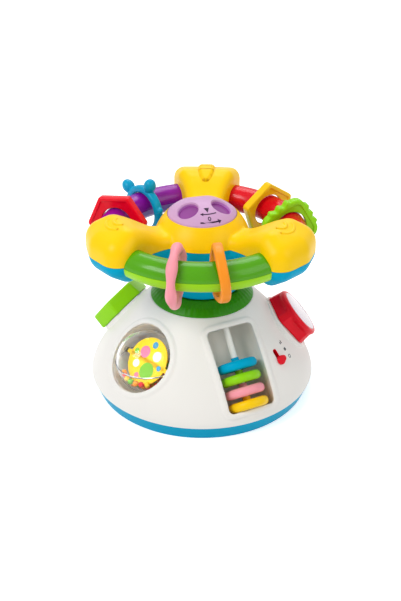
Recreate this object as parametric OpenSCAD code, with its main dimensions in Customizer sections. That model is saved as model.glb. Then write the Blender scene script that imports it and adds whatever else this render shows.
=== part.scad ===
// Baby activity centre: a bell-shaped base with play features, and a lobed steering wheel on top.
// Millimetres, +Z up. The origin is the middle of the underside, and the front looks along -Y.

/* [Base] */
// Radius of the base at the seam between tray and dome
base_r = 112; // [108:1:118]
// How far the tray's foot stands in from the seam
foot_inset = 6; // [4:0.5:10]
// Height of the tray
tray_h = 15.7; // [14:0.1:18]
// Radius of the neck at the top of the dome
neck_r = 50.8; // [49:0.1:54]
// Height of the neck above the floor
neck_z = 98.7; // [96:0.1:104]
// Fullness of the dome above the tray
belly_h = 18.8; // [15:0.1:23]
// Length of the straight flare below the neck
flare_l = 30.7; // [26:0.1:34]
// Wall of the base shells
base_wall = 2.6; // [2:0.1:3]
// Height of the raised rims round the two windows
rim_h = 1.3; // [0.8:0.1:2]
// Width of the raised rims round the two windows
rim_w = 5.5; // [3:0.1:6]

/* [Play features on the base] */
// Direction of the ball window, from +X
ball_az = 224.5; // [218:0.5:228]
// Angle between one feature and the next
feature_step = 72; // [70:0.5:74]
// Radius of the ball window
ball_window_r = 34; // [32:0.5:35]
// Radius of the clear ball
ball_r = 30.5; // [28:0.5:31]
// Depth of the ball's middle under the dome
ball_depth = 15; // [13:0.5:17]
// Wall of the clear ball
ball_wall = 1.8; // [1.4:0.1:2.2]
// Radius of the ball's pivot stubs
ball_pin_r = 3; // [2.5:0.1:3.5]
// Radius of the picture disc in the ball
picture_r = 21; // [18:0.5:22]
// Radius of a bead in the ball
bead_r = 3.1; // [2.6:0.1:3.2]
// Length of the disc window along the slope
window_l = 80; // [78:1:82]
// Width of the disc window
window_w = 48; // [46:1:50]
// Corner radius of the disc window
window_corner = 5; // [3:0.5:7]
// Radius of the sliding discs
disc_r = 19.5; // [17:0.5:20]
// Thickness of a disc at its rim
disc_t = 9; // [7:0.5:10]
// Length of a disc's hub
disc_hub_l = 12.4; // [11:0.1:13]
// Radius of the rod that carries the discs
rod_r = 2.9; // [2.5:0.1:3.5]
// Depth of the rod under the dome
rod_depth = 12; // [11:0.5:13]

/* [Turning knobs and switch] */
// Direction of the mirror knob, from +X
mirror_az = 5; // [0:0.5:10]
// Radius of the mirror knob at the dome
knob_r = 28.6; // [26:0.1:30]
// Radius of the mirror knob's face
knob_face_r = 25.7; // [23:0.1:27]
// Height of the mirror knob
knob_h = 18; // [16:0.5:21]
// Finger scallops round the mirror knob
knob_scallops = 5; // [3:1:5]
// Radius of a finger scallop
scallop_r = 54; // [46:1:60]
// Depth of a finger scallop
scallop_d = 5; // [4.6:0.1:5.4]
// Direction of the hexagon knob, from +X
hexagon_az = 154; // [150:0.5:158]
// Distance from middle to corner of the hexagon knob
hex_knob_r = 31.8; // [28:0.1:33]
// Height of the hexagon knob
hex_knob_h = 16.6; // [15:0.1:20]
// Turn of the hexagon knob as it stands
hexagon_knob_turn = 23; // [0:1:59]
// Radius of the stem of a knob
stem_r = 4.8; // [4:0.1:5.5]
// Direction of the slide switch, from +X
switch_az = 325; // [322:0.5:330]
// Length of the switch slot
slot_l = 17; // [15:0.5:19]
// Width of the switch slot
slot_w = 5.5; // [4.5:0.1:6.5]
// Travel of the slide switch each way from the middle of its slot
switch_travel = 5.5; // [4:0.1:6]
// Where the slide switch stands, down the slope from the middle of its slot
switch_set = 4; // [-5:0.5:5]

/* [Wheel] */
// Turn of the wheel from straight ahead
wheel_turn = -3; // [-10:1:10]
// Height of the tube plane above the neck
wheel_lift = 64.6; // [62:0.1:70]
// Radius of the circle that the tubes follow
tube_ring_r = 87.5; // [85:0.5:92]
// Radius of the tubes
tube_r = 13.5; // [12:0.5:14]
// Wall of the tubes
tube_wall = 1.8; // [1.4:0.1:2.4]
// Outer radius of the lobes
lobe_r = 110.3; // [108:0.1:117]
// Half width of a lobe
lobe_w = 34; // [31:0.5:36]
// Height of a lobe's crest above the parting plane
lobe_rise = 29.9; // [27:0.1:33]
// Height of a lobe at its outer end
lobe_end_rise = 24.9; // [22:0.1:28]
// Depth of a lobe's belly under the parting plane
lobe_drop = 25.3; // [22:0.1:28]
// Depth of a lobe at its outer end
lobe_end_drop = 20; // [18:0.1:24]
// Roundness of a lobe
lobe_edge = 17; // [15:0.5:18]
// Half width of an arm at the hub
arm_w = 18; // [16:0.5:20]
// Height of an arm above the parting plane at the hub
arm_rise = 11; // [10:0.1:14]
// Roundness of an arm
arm_edge = 9; // [7:0.5:10]
// Wall of the wheel shells
wheel_wall = 2.4; // [2:0.1:3]
// Radius of the hub at the parting plane
hub_r = 45.6; // [44:0.1:48]
// Radius of the hub where it meets the collar
hub_foot_r = 38.5; // [37:0.1:40]
// Radius of the shaft that the wheel turns on
shaft_r = 14; // [12:0.5:15]

/* [Projector dial] */
// Radius of the dial
dial_r = 32.8; // [31:0.1:34]
// Height of the dial's rim above the parting plane
dial_rise = 20.7; // [19:0.1:22]
// Wall of the dial
dial_wall = 2.6; // [2:0.1:3]
// Radius of a lens hole
lens_r = 9.8; // [8:0.1:10.2]
// Angle of the lens holes away from straight up
lens_tilt = 24; // [22:0.5:26]

/* [Rings on the tubes] */
// Radius of the hole in the wavy ring
wavy_hole_r = 20.1; // [18:0.1:21]
// Radius of the wavy ring's cord at its thick places
wavy_cord_r = 5.3; // [4:0.1:6]
// Radius of the hole in the flat ring
flat_hole_r = 20.6; // [18.5:0.1:21.5]
// Outer radius of the flat ring
flat_r = 27; // [25:0.1:28]
// Width of the flat ring
flat_w = 9; // [7:0.1:10]
// How far the flat ring bends out of its plane
flat_bend = 1.2; // [0:0.1:2]
// Distance from middle to corner of the hexagon ring
hex_ring_r = 30.8; // [28:0.1:32]
// Radius of the hole in the hexagon ring
hex_hole_r = 16; // [15:0.1:18]
// Outer radius of the eared ring
eared_r = 25.4; // [24.5:0.1:27]
// Radius of the hole in the eared ring
eared_hole_r = 18.5; // [17.5:0.1:19]
// Radius of an ear on the eared ring
ear_r = 6.3; // [5:0.1:7]
// Distance from middle to corner of the pentagon ring
pentagon_r = 29.5; // [28:0.1:31]
// Radius of the hole in the pentagon ring
pentagon_hole_r = 16; // [15.2:0.1:18]
// Distance from middle to corner of the toothed ring, before its corners are rounded
toothed_r = 33.2; // [32:0.1:35]
// Corner radius of the toothed ring
toothed_corner = 10.6; // [8:0.1:13]
// Height of the teeth along the sides of the toothed ring
tooth = 2; // [1:0.1:2.4]
// Radius of the hole in the toothed ring
toothed_hole_r = 16; // [15.2:0.1:18]
// Thickness of the hexagon, eared, pentagon and toothed rings
ring_t = 8.6; // [7:0.1:9]

/* [Fits] */
// Gap between pieces that move past each other
run_gap = 0.4; // [0.3:0.05:0.6]
// Gap between pieces that are fixed together
seat_gap = 0.1; // [0.05:0.01:0.2]
// Gap between a shaft and its bearing
shaft_gap = 0.1; // [0.05:0.01:0.2]

/* [Hidden] */
$fn = 64;
mesh_fn = 20;
eps = 0.02;
far = 300;

foot_r = base_r - foot_inset;

// Dome: one curve from the tray seam to the neck
p0 = [base_r, tray_h];
p1 = [base_r - 0.8, tray_h + belly_h];
p3 = [neck_r, neck_z];
p2 = p3 + flare_l * [cos(45), -sin(45)];
dome_steps = 18;
function curve(u) = pow(1 - u, 3) * p0 + 3 * u * pow(1 - u, 2) * p1
    + 3 * u * u * (1 - u) * p2 + pow(u, 3) * p3;
function slope(u) = 3 * pow(1 - u, 2) * (p1 - p0) + 6 * u * (1 - u) * (p2 - p1)
    + 3 * u * u * (p3 - p2);
function outward(u) = [slope(u)[1], -slope(u)[0]] / norm(slope(u));
function dome_line(offset) = [for (i = [0 : dome_steps])
    curve(i / dome_steps) + offset * outward(i / dome_steps)];

// Places on the dome, as a share of the way along its curve
feature_u = 0.553;
hexagon_u = 0.52;
switch_u = 0.5;
disc_az = ball_az + feature_step;

// Neck and collar
lip_w = 6.5;
lip_t = 3;
collar_edge = 0.6;
collar_t = 2.2;
collar_ribs = 54;
rib_d = 1.6;
diffuser_r = 37;
diffuser_h = 9;
hub_foot_z = neck_z + 12.1;
collar_top_z = hub_foot_z - run_gap;

// Wheel heights
tube_z = neck_z + wheel_lift;
part_z = tube_z + 1.1;
dial_z = part_z + dial_rise;
dome_mid_z = (dial_r * dial_r - hub_r * hub_r + dial_z * dial_z - part_z * part_z)
    / (2 * (dial_z - part_z));
dome_r = sqrt(hub_r * hub_r + pow(part_z - dome_mid_z, 2));
lobe_turns = [90 + wheel_turn, 210 + wheel_turn, 330 + wheel_turn];
limb_shares = [0, 0.3, 0.56, 0.83, 1];
crest_share = 0.95;
belly_share = 0.8;
limb_x0 = hub_r - 4;
limb_x1 = lobe_r - lobe_edge;
tube_end = 8;
hub_floor_t = 2.4;
hub_floor_z = hub_foot_z + hub_floor_t;

// Bearing and shaft
bearing_t = 3;
bearing_low_z = neck_z - 20.7;
flange_t = 2.8;
shaft_wall = 4;
retainer_t = 3.4;
retainer_r = shaft_r + 5;
frame_t = 3;
frame_r = neck_r - 4.8;
frame_top_z = neck_z - lip_t - seat_gap;

// Lamp inside the hub
tower_r = 11;
tower_flange_r = 24;
tower_flange_t = 2;
tower_z = hub_floor_z + flange_t + seat_gap;
shelf_r = 27;
shelf_t = 2;
board_t = 1.6;
shelf_z = dial_z - 13;
board_z = shelf_z + seat_gap;
led_r = 2.5;
led_h = led_r + 0.1;
spindle_r = 4;
spindle_top_z = dial_z + 4;
lens_ring_r = dome_r * sin(lens_tilt);

// Well behind the disc window
well_wall = 2;
well_r = window_w / 2;
end_x = window_l / 2 + 1.6;
disc_pitch = disc_hub_l + 0.3;
disc_x = [for (i = [0 : 3]) window_l / 2 - run_gap - disc_t / 2 - i * disc_pitch];
disc_bore_r = rod_r + 0.3;

// Cup behind the ball window
cup_gap = 3.2;
cup_r = ball_r + cup_gap;
cup_wall = 2.4;
pin_reach = cup_r + cup_wall - 0.6;

// Batteries and boards
cell_r = 7.1;
cell_l = 50.5;
cell_pitch = 15;
bay_y = 48;
bay_l = cell_l + 8;
bay_w = 3 * cell_pitch + 1;
bay_wall = 3.4;
bay_top_z = base_wall + 2 * cell_r + 4;
door_t = 2;
door_sink = 0.4;
door_edge = 3;
door_gap = 0.6;
door_tab_x = bay_l / 2 + door_edge + 5;
board_l = 56;
board_w = 38;
board_post_h = 3;
speaker_y = -44;
speaker_r = 18;
speaker_h = 13;

// Moves a part to a place on the dome: +Z is the outward normal, +X runs downhill, +Y runs round the dome
module on_dome(az, u) {
    n = outward(u);
    rotate([0, 0, az])
        translate([curve(u)[0], 0, curve(u)[1]])
            rotate([0, atan2(n[0], n[1]), 0])
                children();
}

// Solid of revolution under the dome's outer face, moved out or in by an offset
module dome_solid(offset) {
    line = dome_line(offset);
    rotate_extrude($fn = 128)
        polygon(concat([[0, tray_h]], [[line[0][0], tray_h]],
            [for (i = [1 : dome_steps - 1]) line[i]],
            [[line[dome_steps][0], neck_z], [0, neck_z]]));
}

// Space inside the dome's wall
module dome_inside() {
    line = dome_line(-base_wall);
    rotate_extrude($fn = 128)
        polygon(concat([[0, base_wall]], [[line[0][0] - 8, base_wall]], [[line[0][0] - eps, tray_h - 0.1]],
            [for (i = [1 : dome_steps - 1]) line[i] - [0.05, 0.05]],
            [[0, line[dome_steps - 1][1]]]));
}

// Flat outline with round corners
module round_rect(l, w, r) {
    union() {
        square([l - 2 * r, w], center = true);
        square([l, w - 2 * r], center = true);
        for (x = [-1, 1], y = [-1, 1])
            translate([x * (l / 2 - r), y * (w / 2 - r)])
                circle(r);
    }
}

// Base

module base_tray() {
    color([0.04, 0.6, 0.78])
        difference() {
            union() {
                rotate_extrude($fn = 128)
                    polygon([[0, 0], [foot_r - 1, 0], [foot_r, 1], [base_r, tray_h],
                        [base_r - base_wall, tray_h], [foot_r - base_wall, base_wall], [0, base_wall]]);
                battery_bay();
                for (x = [-1, 1], y = [-1, 1])
                    translate([x * (board_l / 2 - 4), bay_y + y * (board_w / 2 - 4), bay_top_z - eps])
                        cylinder(r = 3, h = board_post_h + eps);
                tray_bosses() cylinder(r = boss_r, h = boss_top - 1);
                translate([door_tab_x, bay_y, 0.6])
                    cylinder(r = 8, h = 10);
                translate([0, speaker_y, base_wall - eps])
                    difference() {
                        cylinder(r = speaker_r + 2, h = 4);
                        cylinder(r = speaker_r + seat_gap, h = 5);
                    }
            }
            translate([0, bay_y, bay_top_z / 2 - bay_wall])
                cube([bay_l, bay_w, bay_top_z], center = true);
            translate([0, bay_y, 0])
                cube([bay_l + 2 * door_edge, bay_w + 2 * door_edge, 2 * (door_t + door_sink)], center = true);
            translate([door_tab_x, bay_y, -eps])
                cylinder(r = 6.3, h = door_t + door_sink + eps);
            translate([door_tab_x, bay_y, 0])
                cylinder(r = screw_r + 0.1, h = 8);
            tray_bosses() screw_hole();
            speaker_grille();
        }
}

boss_r = 4;
boss_top = tray_h + 6;
boss_ring_r = base_r - 20;
screw_r = 1.6;
screw_head_r = 3;
screw_head_h = 2.4;
screw_l = 18;

// The five screw posts that hold the tray to the dome
module tray_bosses() {
    for (i = [0 : 4])
        rotate([0, 0, ball_az + feature_step * (i + 0.5)])
            translate([boss_ring_r, 0, 0.6])
                children();
}

module screw_hole() {
    translate([0, 0, -1])
        cylinder(r = screw_head_r + 0.4, h = screw_head_h + 1.6);
    cylinder(r = screw_r + 0.2, h = far);
}

module screw(l) {
    cylinder(r = screw_head_r, h = screw_head_h);
    cylinder(r = screw_r, h = l);
}

module battery_bay() {
    translate([0, bay_y, (base_wall + bay_top_z) / 2])
        cube([bay_l + 2 * bay_wall, bay_w + 2 * bay_wall, bay_top_z - base_wall + eps], center = true);
}

// Rings of sound holes under the speaker
module speaker_grille() {
    for (ring = [0 : 2], i = [0 : max(0, 6 * ring - 1)])
        translate([0, speaker_y, -1])
            rotate([0, 0, i * 360 / max(1, 6 * ring)])
                translate([5 * ring, 0, 0])
                    cylinder(r = 1.3, h = base_wall + 2, $fn = 24);
}

module base_dome() {
    color([0.93, 0.92, 0.91])
        difference() {
            union() {
                difference() {
                    dome_solid(0);
                    dome_hollow();
                }
                translate([0, 0, neck_z - lip_t])
                    ring_of(neck_r - lip_w, neck_r - 0.4, lip_t);
                window_rims();
                on_dome(mirror_az, feature_u)
                    knob_seat(knob_r + seat_edge);
                on_dome(hexagon_az, hexagon_u)
                    knob_seat(hex_knob_r * cos(30) + seat_edge);
                dome_bosses();
            }
            on_dome(ball_az, feature_u)
                translate([0, 0, -20])
                    cylinder(r = ball_window_r, h = 40);
            on_dome(disc_az, feature_u)
                translate([0, 0, -26])
                    linear_extrude(46)
                        round_rect(window_l, window_w, window_corner);
            on_dome(mirror_az, feature_u)
                stem_hole();
            on_dome(hexagon_az, hexagon_u)
                stem_hole();
            on_dome(switch_az, switch_u)
                translate([0, 0, -8])
                    linear_extrude(20)
                        round_rect(slot_l, slot_w, slot_w / 2 - eps);
            tray_bosses() cylinder(r = screw_r, h = 30);
        }
}

// Hollow of the dome, open at the tray and at the neck
module dome_hollow() {
    line = dome_line(-base_wall);
    rotate_extrude($fn = 128)
        polygon(concat([[0, tray_h - 1]], [[base_r - base_wall, tray_h - 1], [line[0][0], tray_h]],
            [for (i = [1 : dome_steps]) line[i]],
            [[line[dome_steps][0], neck_z + 1], [0, neck_z + 1]]));
}

module ring_of(inner, outer, h) {
    rotate_extrude($fn = 128)
        translate([inner, 0])
            square([outer - inner, h]);
}

// Raised rims that follow the dome round the ball window and the disc window
module window_rims() {
    intersection() {
        difference() {
            dome_solid(rim_h);
            dome_solid(-base_wall / 2);
        }
        union() {
            on_dome(ball_az, feature_u)
                translate([0, 0, -20])
                    cylinder(r = ball_window_r + rim_w, h = 40);
            on_dome(disc_az, feature_u)
                translate([0, 0, -20])
                    linear_extrude(40)
                        round_rect(window_l + 2 * rim_w, window_w + 2 * rim_w, window_corner + rim_w);
        }
    }
}

seat_h = 0.4;
seat_t = 6;
seat_edge = 1.5;

// Flat round seat for a knob, and the bush inside the dome that its stem turns in
module knob_seat(r) {
    translate([0, 0, -base_wall])
        cylinder(r = r, h = base_wall + seat_h);
    translate([0, 0, -seat_t])
        cylinder(r = stem_r + 4, h = seat_t);
    difference() {
        translate([0, 0, -seat_t])
            cylinder(r = r, h = seat_t);
        translate([0, 0, -seat_t - 1])
            cylinder(r = r - base_wall, h = seat_t + 2);
    }
}

module stem_hole() {
    translate([0, 0, -2 * seat_t])
        cylinder(r = stem_r + run_gap, h = 4 * seat_t);
}

// Screw posts inside the dome, over the tray's posts
module dome_bosses() {
    intersection() {
        dome_solid(-base_wall / 2);
        tray_bosses()
            translate([0, 0, boss_top - 1 + seat_gap])
                cylinder(r = boss_r, h = far);
    }
}

module light_collar() {
    color([0.16, 0.47, 0.04, 0.8])
        rotate_extrude($fn = 128)
            polygon([[neck_r - collar_edge, neck_z + 0.02], [neck_r - collar_edge, neck_z + 1],
                [hub_foot_r + 0.6, collar_top_z], [hub_foot_r - 3, collar_top_z],
                [hub_foot_r - 3, collar_top_z - collar_t], [hub_foot_r - 1, collar_top_z - collar_t],
                [neck_r - collar_edge - 4, neck_z + 0.02]]);
}

// Ribbed ring behind the collar that spreads the light
module collar_diffuser() {
    color([0.75, 0.85, 0.7])
        translate([0, 0, frame_top_z + seat_gap])
            difference() {
                linear_extrude(diffuser_h)
                    polygon([for (i = [0 : 2 * collar_ribs - 1])
                        let (a = 180 * i / collar_ribs, r = diffuser_r - rib_d * (i % 2))
                            r * [cos(a), sin(a)]]);
                translate([0, 0, -1])
                    cylinder(r = diffuser_r - rib_d - 1.4, h = diffuser_h + 2);
            }
}

module neck_frame() {
    color([0.9, 0.9, 0.88]) {
        rotate_extrude($fn = 96)
            polygon([[shaft_r + shaft_gap, bearing_low_z], [shaft_r + shaft_gap + bearing_t, bearing_low_z],
                [shaft_r + shaft_gap + bearing_t, frame_top_z - frame_t], [frame_r, frame_top_z - frame_t],
                [frame_r, frame_top_z], [shaft_r + shaft_gap + bearing_t, frame_top_z],
                [shaft_r + shaft_gap + bearing_t, hub_foot_z - 1.5], [shaft_r + shaft_gap, hub_foot_z - 1.5]]);
    }
}

// Round cup behind the ball window, with bearing holes for the ball's stubs
module ball_cup() {
    color([0.86, 0.83, 0.78])
        intersection() {
            dome_inside();
            on_dome(ball_az, feature_u)
                translate([0, 0, -ball_depth])
                    difference() {
                        union() {
                            sphere(cup_r + cup_wall, $fn = 96);
                            cylinder(r = cup_r + cup_wall, h = ball_depth + 10, $fn = 96);
                        }
                        sphere(cup_r, $fn = 96);
                        cylinder(r = cup_r, h = ball_depth + 11, $fn = 96);
                        rotate([90, 0, 0])
                            cylinder(r = ball_pin_r + 0.3, h = 4 * cup_r, center = true);
                    }
        }
}

// Trough behind the disc window, round about the rod
module disc_well() {
    color([0.68, 0.7, 0.68])
        intersection() {
            dome_inside();
            on_dome(disc_az, feature_u)
                difference() {
                    trough(well_r + well_wall, end_x + well_wall);
                    trough(well_r, end_x);
                    translate([0, 0, -rod_depth])
                        rotate([0, 90, 0])
                            cylinder(r = rod_r + seat_gap, h = 2 * end_x + 2 * well_wall - 1.4, center = true);
                }
        }
}

module trough(r, half_l) {
    translate([0, 0, -rod_depth]) {
        rotate([0, 90, 0])
            cylinder(r = r, h = 2 * half_l, center = true);
        translate([-half_l, -r, 0])
            cube([2 * half_l, 2 * r, rod_depth + 12]);
    }
}

module disc_rod() {
    color([0.84, 0.83, 0.8])
        on_dome(disc_az, feature_u)
            translate([0, 0, -rod_depth])
                rotate([0, 90, 0])
                    cylinder(r = rod_r, h = 2 * end_x + 2 * well_wall - 2, center = true);
}

module battery_door() {
    color([0.04, 0.55, 0.72])
        difference() {
            translate([0, 0, door_sink + door_t / 2]) {
                translate([0, bay_y, 0])
                    cube([bay_l + 2 * door_edge - door_gap, bay_w + 2 * door_edge - door_gap, door_t - 0.1],
                        center = true);
                translate([door_tab_x, bay_y, 0])
                    cylinder(r = 6, h = door_t - 0.1, center = true);
            }
            translate([door_tab_x, bay_y, -1])
                cylinder(r = screw_r + 0.2, h = 8);
            translate([door_tab_x, bay_y, -1])
                cylinder(r = screw_head_r + 0.2, h = 1 + door_sink + door_t / 2);
            for (x = [-1, 0, 1])
                translate([x * 8, bay_y - bay_w / 2 + 4, 0])
                    cube([5, 1.6, 2 * door_sink + 1.2], center = true);
        }
}

module batteries() {
    color([0.2, 0.2, 0.22])
        for (i = [-1 : 1])
            translate([0, bay_y + i * cell_pitch, door_t + door_sink + cell_r + 0.3])
                rotate([0, i == 0 ? -90 : 90, 0])
                    translate([0, 0, -cell_l / 2]) {
                        cylinder(r = cell_r, h = cell_l - 1.4);
                        cylinder(r = 2.7, h = cell_l);
                    }
}

// Plates and coil cones at the ends of the bay
module battery_contacts() {
    color([0.75, 0.74, 0.7])
        for (i = [-1 : 1], side = [-1, 1])
            translate([side * (bay_l / 2 - 0.5), bay_y + i * cell_pitch, door_t + door_sink + cell_r + 0.3]) {
                cube([0.8, 11, 11], center = true);
                if ((i == 0) == (side == 1))
                    rotate([0, -side * 90, 0])
                        cylinder(r1 = 5, r2 = 3, h = bay_l / 2 - cell_l / 2 - 0.6);
                else
                    rotate([0, -side * 90, 0])
                        cylinder(r = 1.5, h = bay_l / 2 - cell_l / 2 - 0.6);
            }
}

module main_board() {
    color([0.1, 0.4, 0.2])
        translate([0, bay_y, bay_top_z + board_post_h + seat_gap]) {
            translate([-board_l / 2, -board_w / 2, 0])
                cube([board_l, board_w, board_t]);
            translate([-14, -6, board_t - eps])
                cube([14, 9, 2]);
            translate([8, 4, board_t - eps])
                cylinder(r = 3, h = 7);
            translate([18, -12, board_t - eps])
                cube([6, 8, 5]);
        }
}

module speaker() {
    color([0.25, 0.25, 0.27])
        translate([0, speaker_y, base_wall + seat_gap])
            rotate_extrude($fn = 96)
                polygon([[0, 2.4], [6, 2.4], [speaker_r - 2, 0.8], [speaker_r - 2, 0], [speaker_r, 0],
                    [speaker_r, 2.2], [10, 6], [10, speaker_h], [0, speaker_h]]);
}

module collar_lamps() {
    color([0.85, 0.95, 0.85])
        for (i = [0 : 5])
            rotate([0, 0, 60 * i])
                translate([28, 0, frame_top_z + seat_gap]) {
                    cylinder(r = 2.9, h = 1);
                    cylinder(r = 2.5, h = 4.5);
                    translate([0, 0, 4.5])
                        sphere(2.5);
                }
}

switch_deep = 6.2;

module switch_body() {
    color([0.3, 0.3, 0.32])
        on_dome(switch_az, switch_u)
            translate([0, 0, -switch_deep - 5]) {
                translate([-15, -5, 0])
                    cube([30, 10, 5]);
                for (x = [-1, 1])
                    translate([x * 19.4, 0, 0])
                        difference() {
                            translate([-4.5, -4, 0])
                                cube([9, 8, 3]);
                            translate([0, 0, -1])
                                cylinder(r = screw_r, h = 5);
                        }
            }
}

module base_screws() {
    color([0.7, 0.7, 0.72]) {
        tray_bosses()
            translate([0, 0, 0.5])
                screw(screw_l);
        translate([door_tab_x, bay_y, door_sink]) {
            cylinder(r = screw_head_r, h = door_t / 2 - 0.1);
            cylinder(r = screw_r, h = 7);
        }
    }
}

// Wheel

// Height of a limb at a share f of the way out: it rises from the hub to its crest, then falls to its end
function limb_height(f, low, high, end, top) = f <= top
    ? low + (high - low) * pow(f / top, 2) * (3 - 2 * f / top)
    : high + (end - high) * pow((f - top) / (1 - top), 2);
function limb_up(f) = limb_height(f, arm_rise, lobe_rise, lobe_end_rise, crest_share);
function limb_down(f) = limb_height(f, arm_rise + 2, lobe_drop, lobe_end_drop, belly_share);

// Cross-section of a limb at a share f of the way from hub to lobe, rounded at its free edge
module limb_station(f, inset, up, fn) {
    x = limb_x0 + (limb_x1 - limb_x0) * f;
    w = arm_w + (lobe_w - arm_w) * pow(f, 1.6) - inset;
    h = (up > 0 ? limb_up(f) : limb_down(f)) - inset;
    r = arm_edge + (lobe_edge - arm_edge) * f - inset;
    for (side = [-1, 1])
        translate([x, side * (w - r), 0]) {
            translate([0, 0, up * max(h - r, 0)])
                sphere(min(r, h), $fn = fn);
            translate([0, 0, up > 0 ? -3 : 0])
                cylinder(r = r, h = 3, $fn = fn);
        }
}

// One arm and lobe, from the parting plane upwards or downwards
module limb(shares, inset, up, fn) {
    for (i = [0 : len(shares) - 2])
        hull() {
            limb_station(shares[i], inset, up, fn);
            limb_station(shares[i + 1], inset, up, fn);
        }
}

module limbs(shares, inset, up, fn) {
    for (a = lobe_turns)
        rotate([0, 0, a])
            translate([0, 0, part_z])
                limb(shares, inset, up, fn);
}
lobe_shares = [for (f = limb_shares) if (f > 0.5) f];

// Everything on one side of the parting plane
module beyond_parting(up) {
    translate([0, 0, part_z + up * far / 2])
        cube(far, center = true);
}

module tube_channel() {
    translate([0, 0, tube_z])
        rotate_extrude($fn = 96)
            translate([tube_ring_r, 0])
                circle(tube_r + 0.35, $fn = 40);
}

// Points on the hub's round top, from the angle a0 to the angle a1 above the level of its middle
function hub_arc(r, a0, a1, n) = [for (i = [0 : n])
    [r * cos(a0 + (a1 - a0) * i / n), dome_mid_z + r * sin(a0 + (a1 - a0) * i / n)]];
seam_angle = asin((part_z - dome_mid_z) / dome_r);

module wheel_top_shell() {
    inner_r = dome_r - wheel_wall;
    color([1, 0.84, 0.02])
        difference() {
            union() {
                rotate_extrude($fn = 72)
                    polygon(concat([[0, part_z - 4], [hub_r, part_z - 4]],
                        hub_arc(dome_r, seam_angle, 90, 10)));
                limbs(limb_shares, 0, 1, mesh_fn);
                rotate([0, 0, lobe_turns[0]])
                    translate([limb_x1, 0, part_z + lobe_rise])
                        lobe_tab();
            }
            rotate_extrude($fn = 72)
                polygon(concat([[0, part_z - 8], [hub_r - wheel_wall, part_z - 8]],
                    hub_arc(inner_r, asin((part_z - dome_mid_z) / inner_r), acos((dial_r - 3) / inner_r), 5),
                    [[0, dial_z]]));
            translate([0, 0, dial_z - 9])
                cylinder(r = dial_r - 1.6, h = 40, $fn = 72);
            translate([0, 0, dial_z - 2])
                cylinder(r = dial_r + run_gap, h = 40, $fn = 72);
            limbs(lobe_shares, wheel_wall, 1, 12);
            tube_channel();
            wheel_bosses() translate([0, 0, -6]) cylinder(r = screw_r + 0.1, h = 13, $fn = 24);
            beyond_parting(-1);
        }
}

// Raised tongue that lies over the crest of the back lobe and points at the hub
module lobe_tab() {
    tab_r = 5.5;
    tip_r = 4.5;
    half_w = 2.5;
    hull() {
        for (y = [-half_w, half_w])
            translate([-tab_r, y, 2.5 - tab_r])
                sphere(tab_r, $fn = 16);
        translate([-25, 0, -11.4])
            sphere(tip_r, $fn = 16);
    }
}

// Places of the screws that hold the two wheel shells together
module wheel_bosses() {
    for (a = lobe_turns)
        rotate([0, 0, a])
            translate([hub_r + 6, 0, part_z])
                children();
}

module wheel_bottom_shell() {
    color([0.04, 0.6, 0.78])
        difference() {
            union() {
                hub_bowl(0);
                limbs(limb_shares, 0, -1, mesh_fn);
            }
            hub_bowl(wheel_wall);
            limbs(lobe_shares, wheel_wall, -1, 12);
            translate([0, 0, hub_foot_z - 1])
                cylinder(r = shaft_r + 0.5, h = 20, $fn = 64);
            tube_channel();
            wheel_bosses()
                translate([0, 0, -30])
                    cylinder(r = screw_r + 0.3, h = 40, $fn = 24);
            wheel_bosses()
                translate([0, 0, -30])
                    cylinder(r = screw_head_r + 0.4, h = 30 - arm_rise + 2.4, $fn = 24);
            beyond_parting(1);
        }
}

// Bowl under the hub, full or shrunk by its wall
module hub_bowl(inset) {
    low = hub_foot_z + (inset > 0 ? hub_floor_t : 0);
    mid_z = (part_z + hub_foot_z) / 2;
    rotate_extrude($fn = 72)
        polygon([[0, low], [hub_foot_r - 2 - inset, low], [hub_foot_r - inset, low + 2],
            [hub_r - 3 - inset, mid_z - 8], [hub_r + 0.4 - inset, mid_z + 8],
            [hub_r - 0.1 - inset, part_z + 4 + inset], [0, part_z + 4 + inset]]);
}

module wheel_shaft() {
    color([0.9, 0.9, 0.88])
        rotate_extrude($fn = 96)
            polygon([[shaft_r - shaft_wall, bearing_low_z - run_gap], [shaft_r, bearing_low_z - run_gap],
                [shaft_r, hub_floor_z + seat_gap], [hub_foot_r - 10, hub_floor_z + seat_gap],
                [hub_foot_r - 10, hub_floor_z + flange_t], [shaft_r - shaft_wall, hub_floor_z + flange_t]]);
}

module shaft_retainer() {
    color([0.75, 0.75, 0.77])
        rotate_extrude($fn = 96)
            polygon([[0, bearing_low_z - run_gap - seat_gap - retainer_t],
                [retainer_r, bearing_low_z - run_gap - seat_gap - retainer_t],
                [retainer_r, bearing_low_z - run_gap - seat_gap],
                [shaft_r - shaft_wall - seat_gap, bearing_low_z - run_gap - seat_gap],
                [shaft_r - shaft_wall - seat_gap, bearing_low_z + 8], [0, bearing_low_z + 8]]);
}

// Half of a tube between two lobes: the upper or the lower half of its round section
module tube_half(lobe, up) {
    translate([0, 0, tube_z])
        rotate([0, 0, lobe_turns[lobe] + tube_end])
            rotate_extrude(angle = 120 - 2 * tube_end, $fn = 128)
                translate([tube_ring_r, 0])
                    intersection() {
                        difference() {
                            circle(tube_r);
                            circle(tube_r - tube_wall);
                        }
                        translate([-far / 2, up > 0 ? 0.02 : -far - 0.02])
                            square([far, far]);
                    }
}

module green_tube_top() {
    color([0.27, 0.62, 0.02, 0.8]) tube_half(1, 1);
}
module green_tube_bottom() {
    color([0.57, 0.84, 0.1]) tube_half(1, -1);
}
module purple_tube_top() {
    color([0.43, 0.08, 0.55, 0.8]) tube_half(0, 1);
}
module purple_tube_bottom() {
    color([0.6, 0.45, 0.72]) tube_half(0, -1);
}
module red_tube_top() {
    color([0.84, 0.04, 0.1, 0.8]) tube_half(2, 1);
}
module red_tube_bottom() {
    color([0.85, 0.1, 0.15]) tube_half(2, -1);
}

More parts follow.
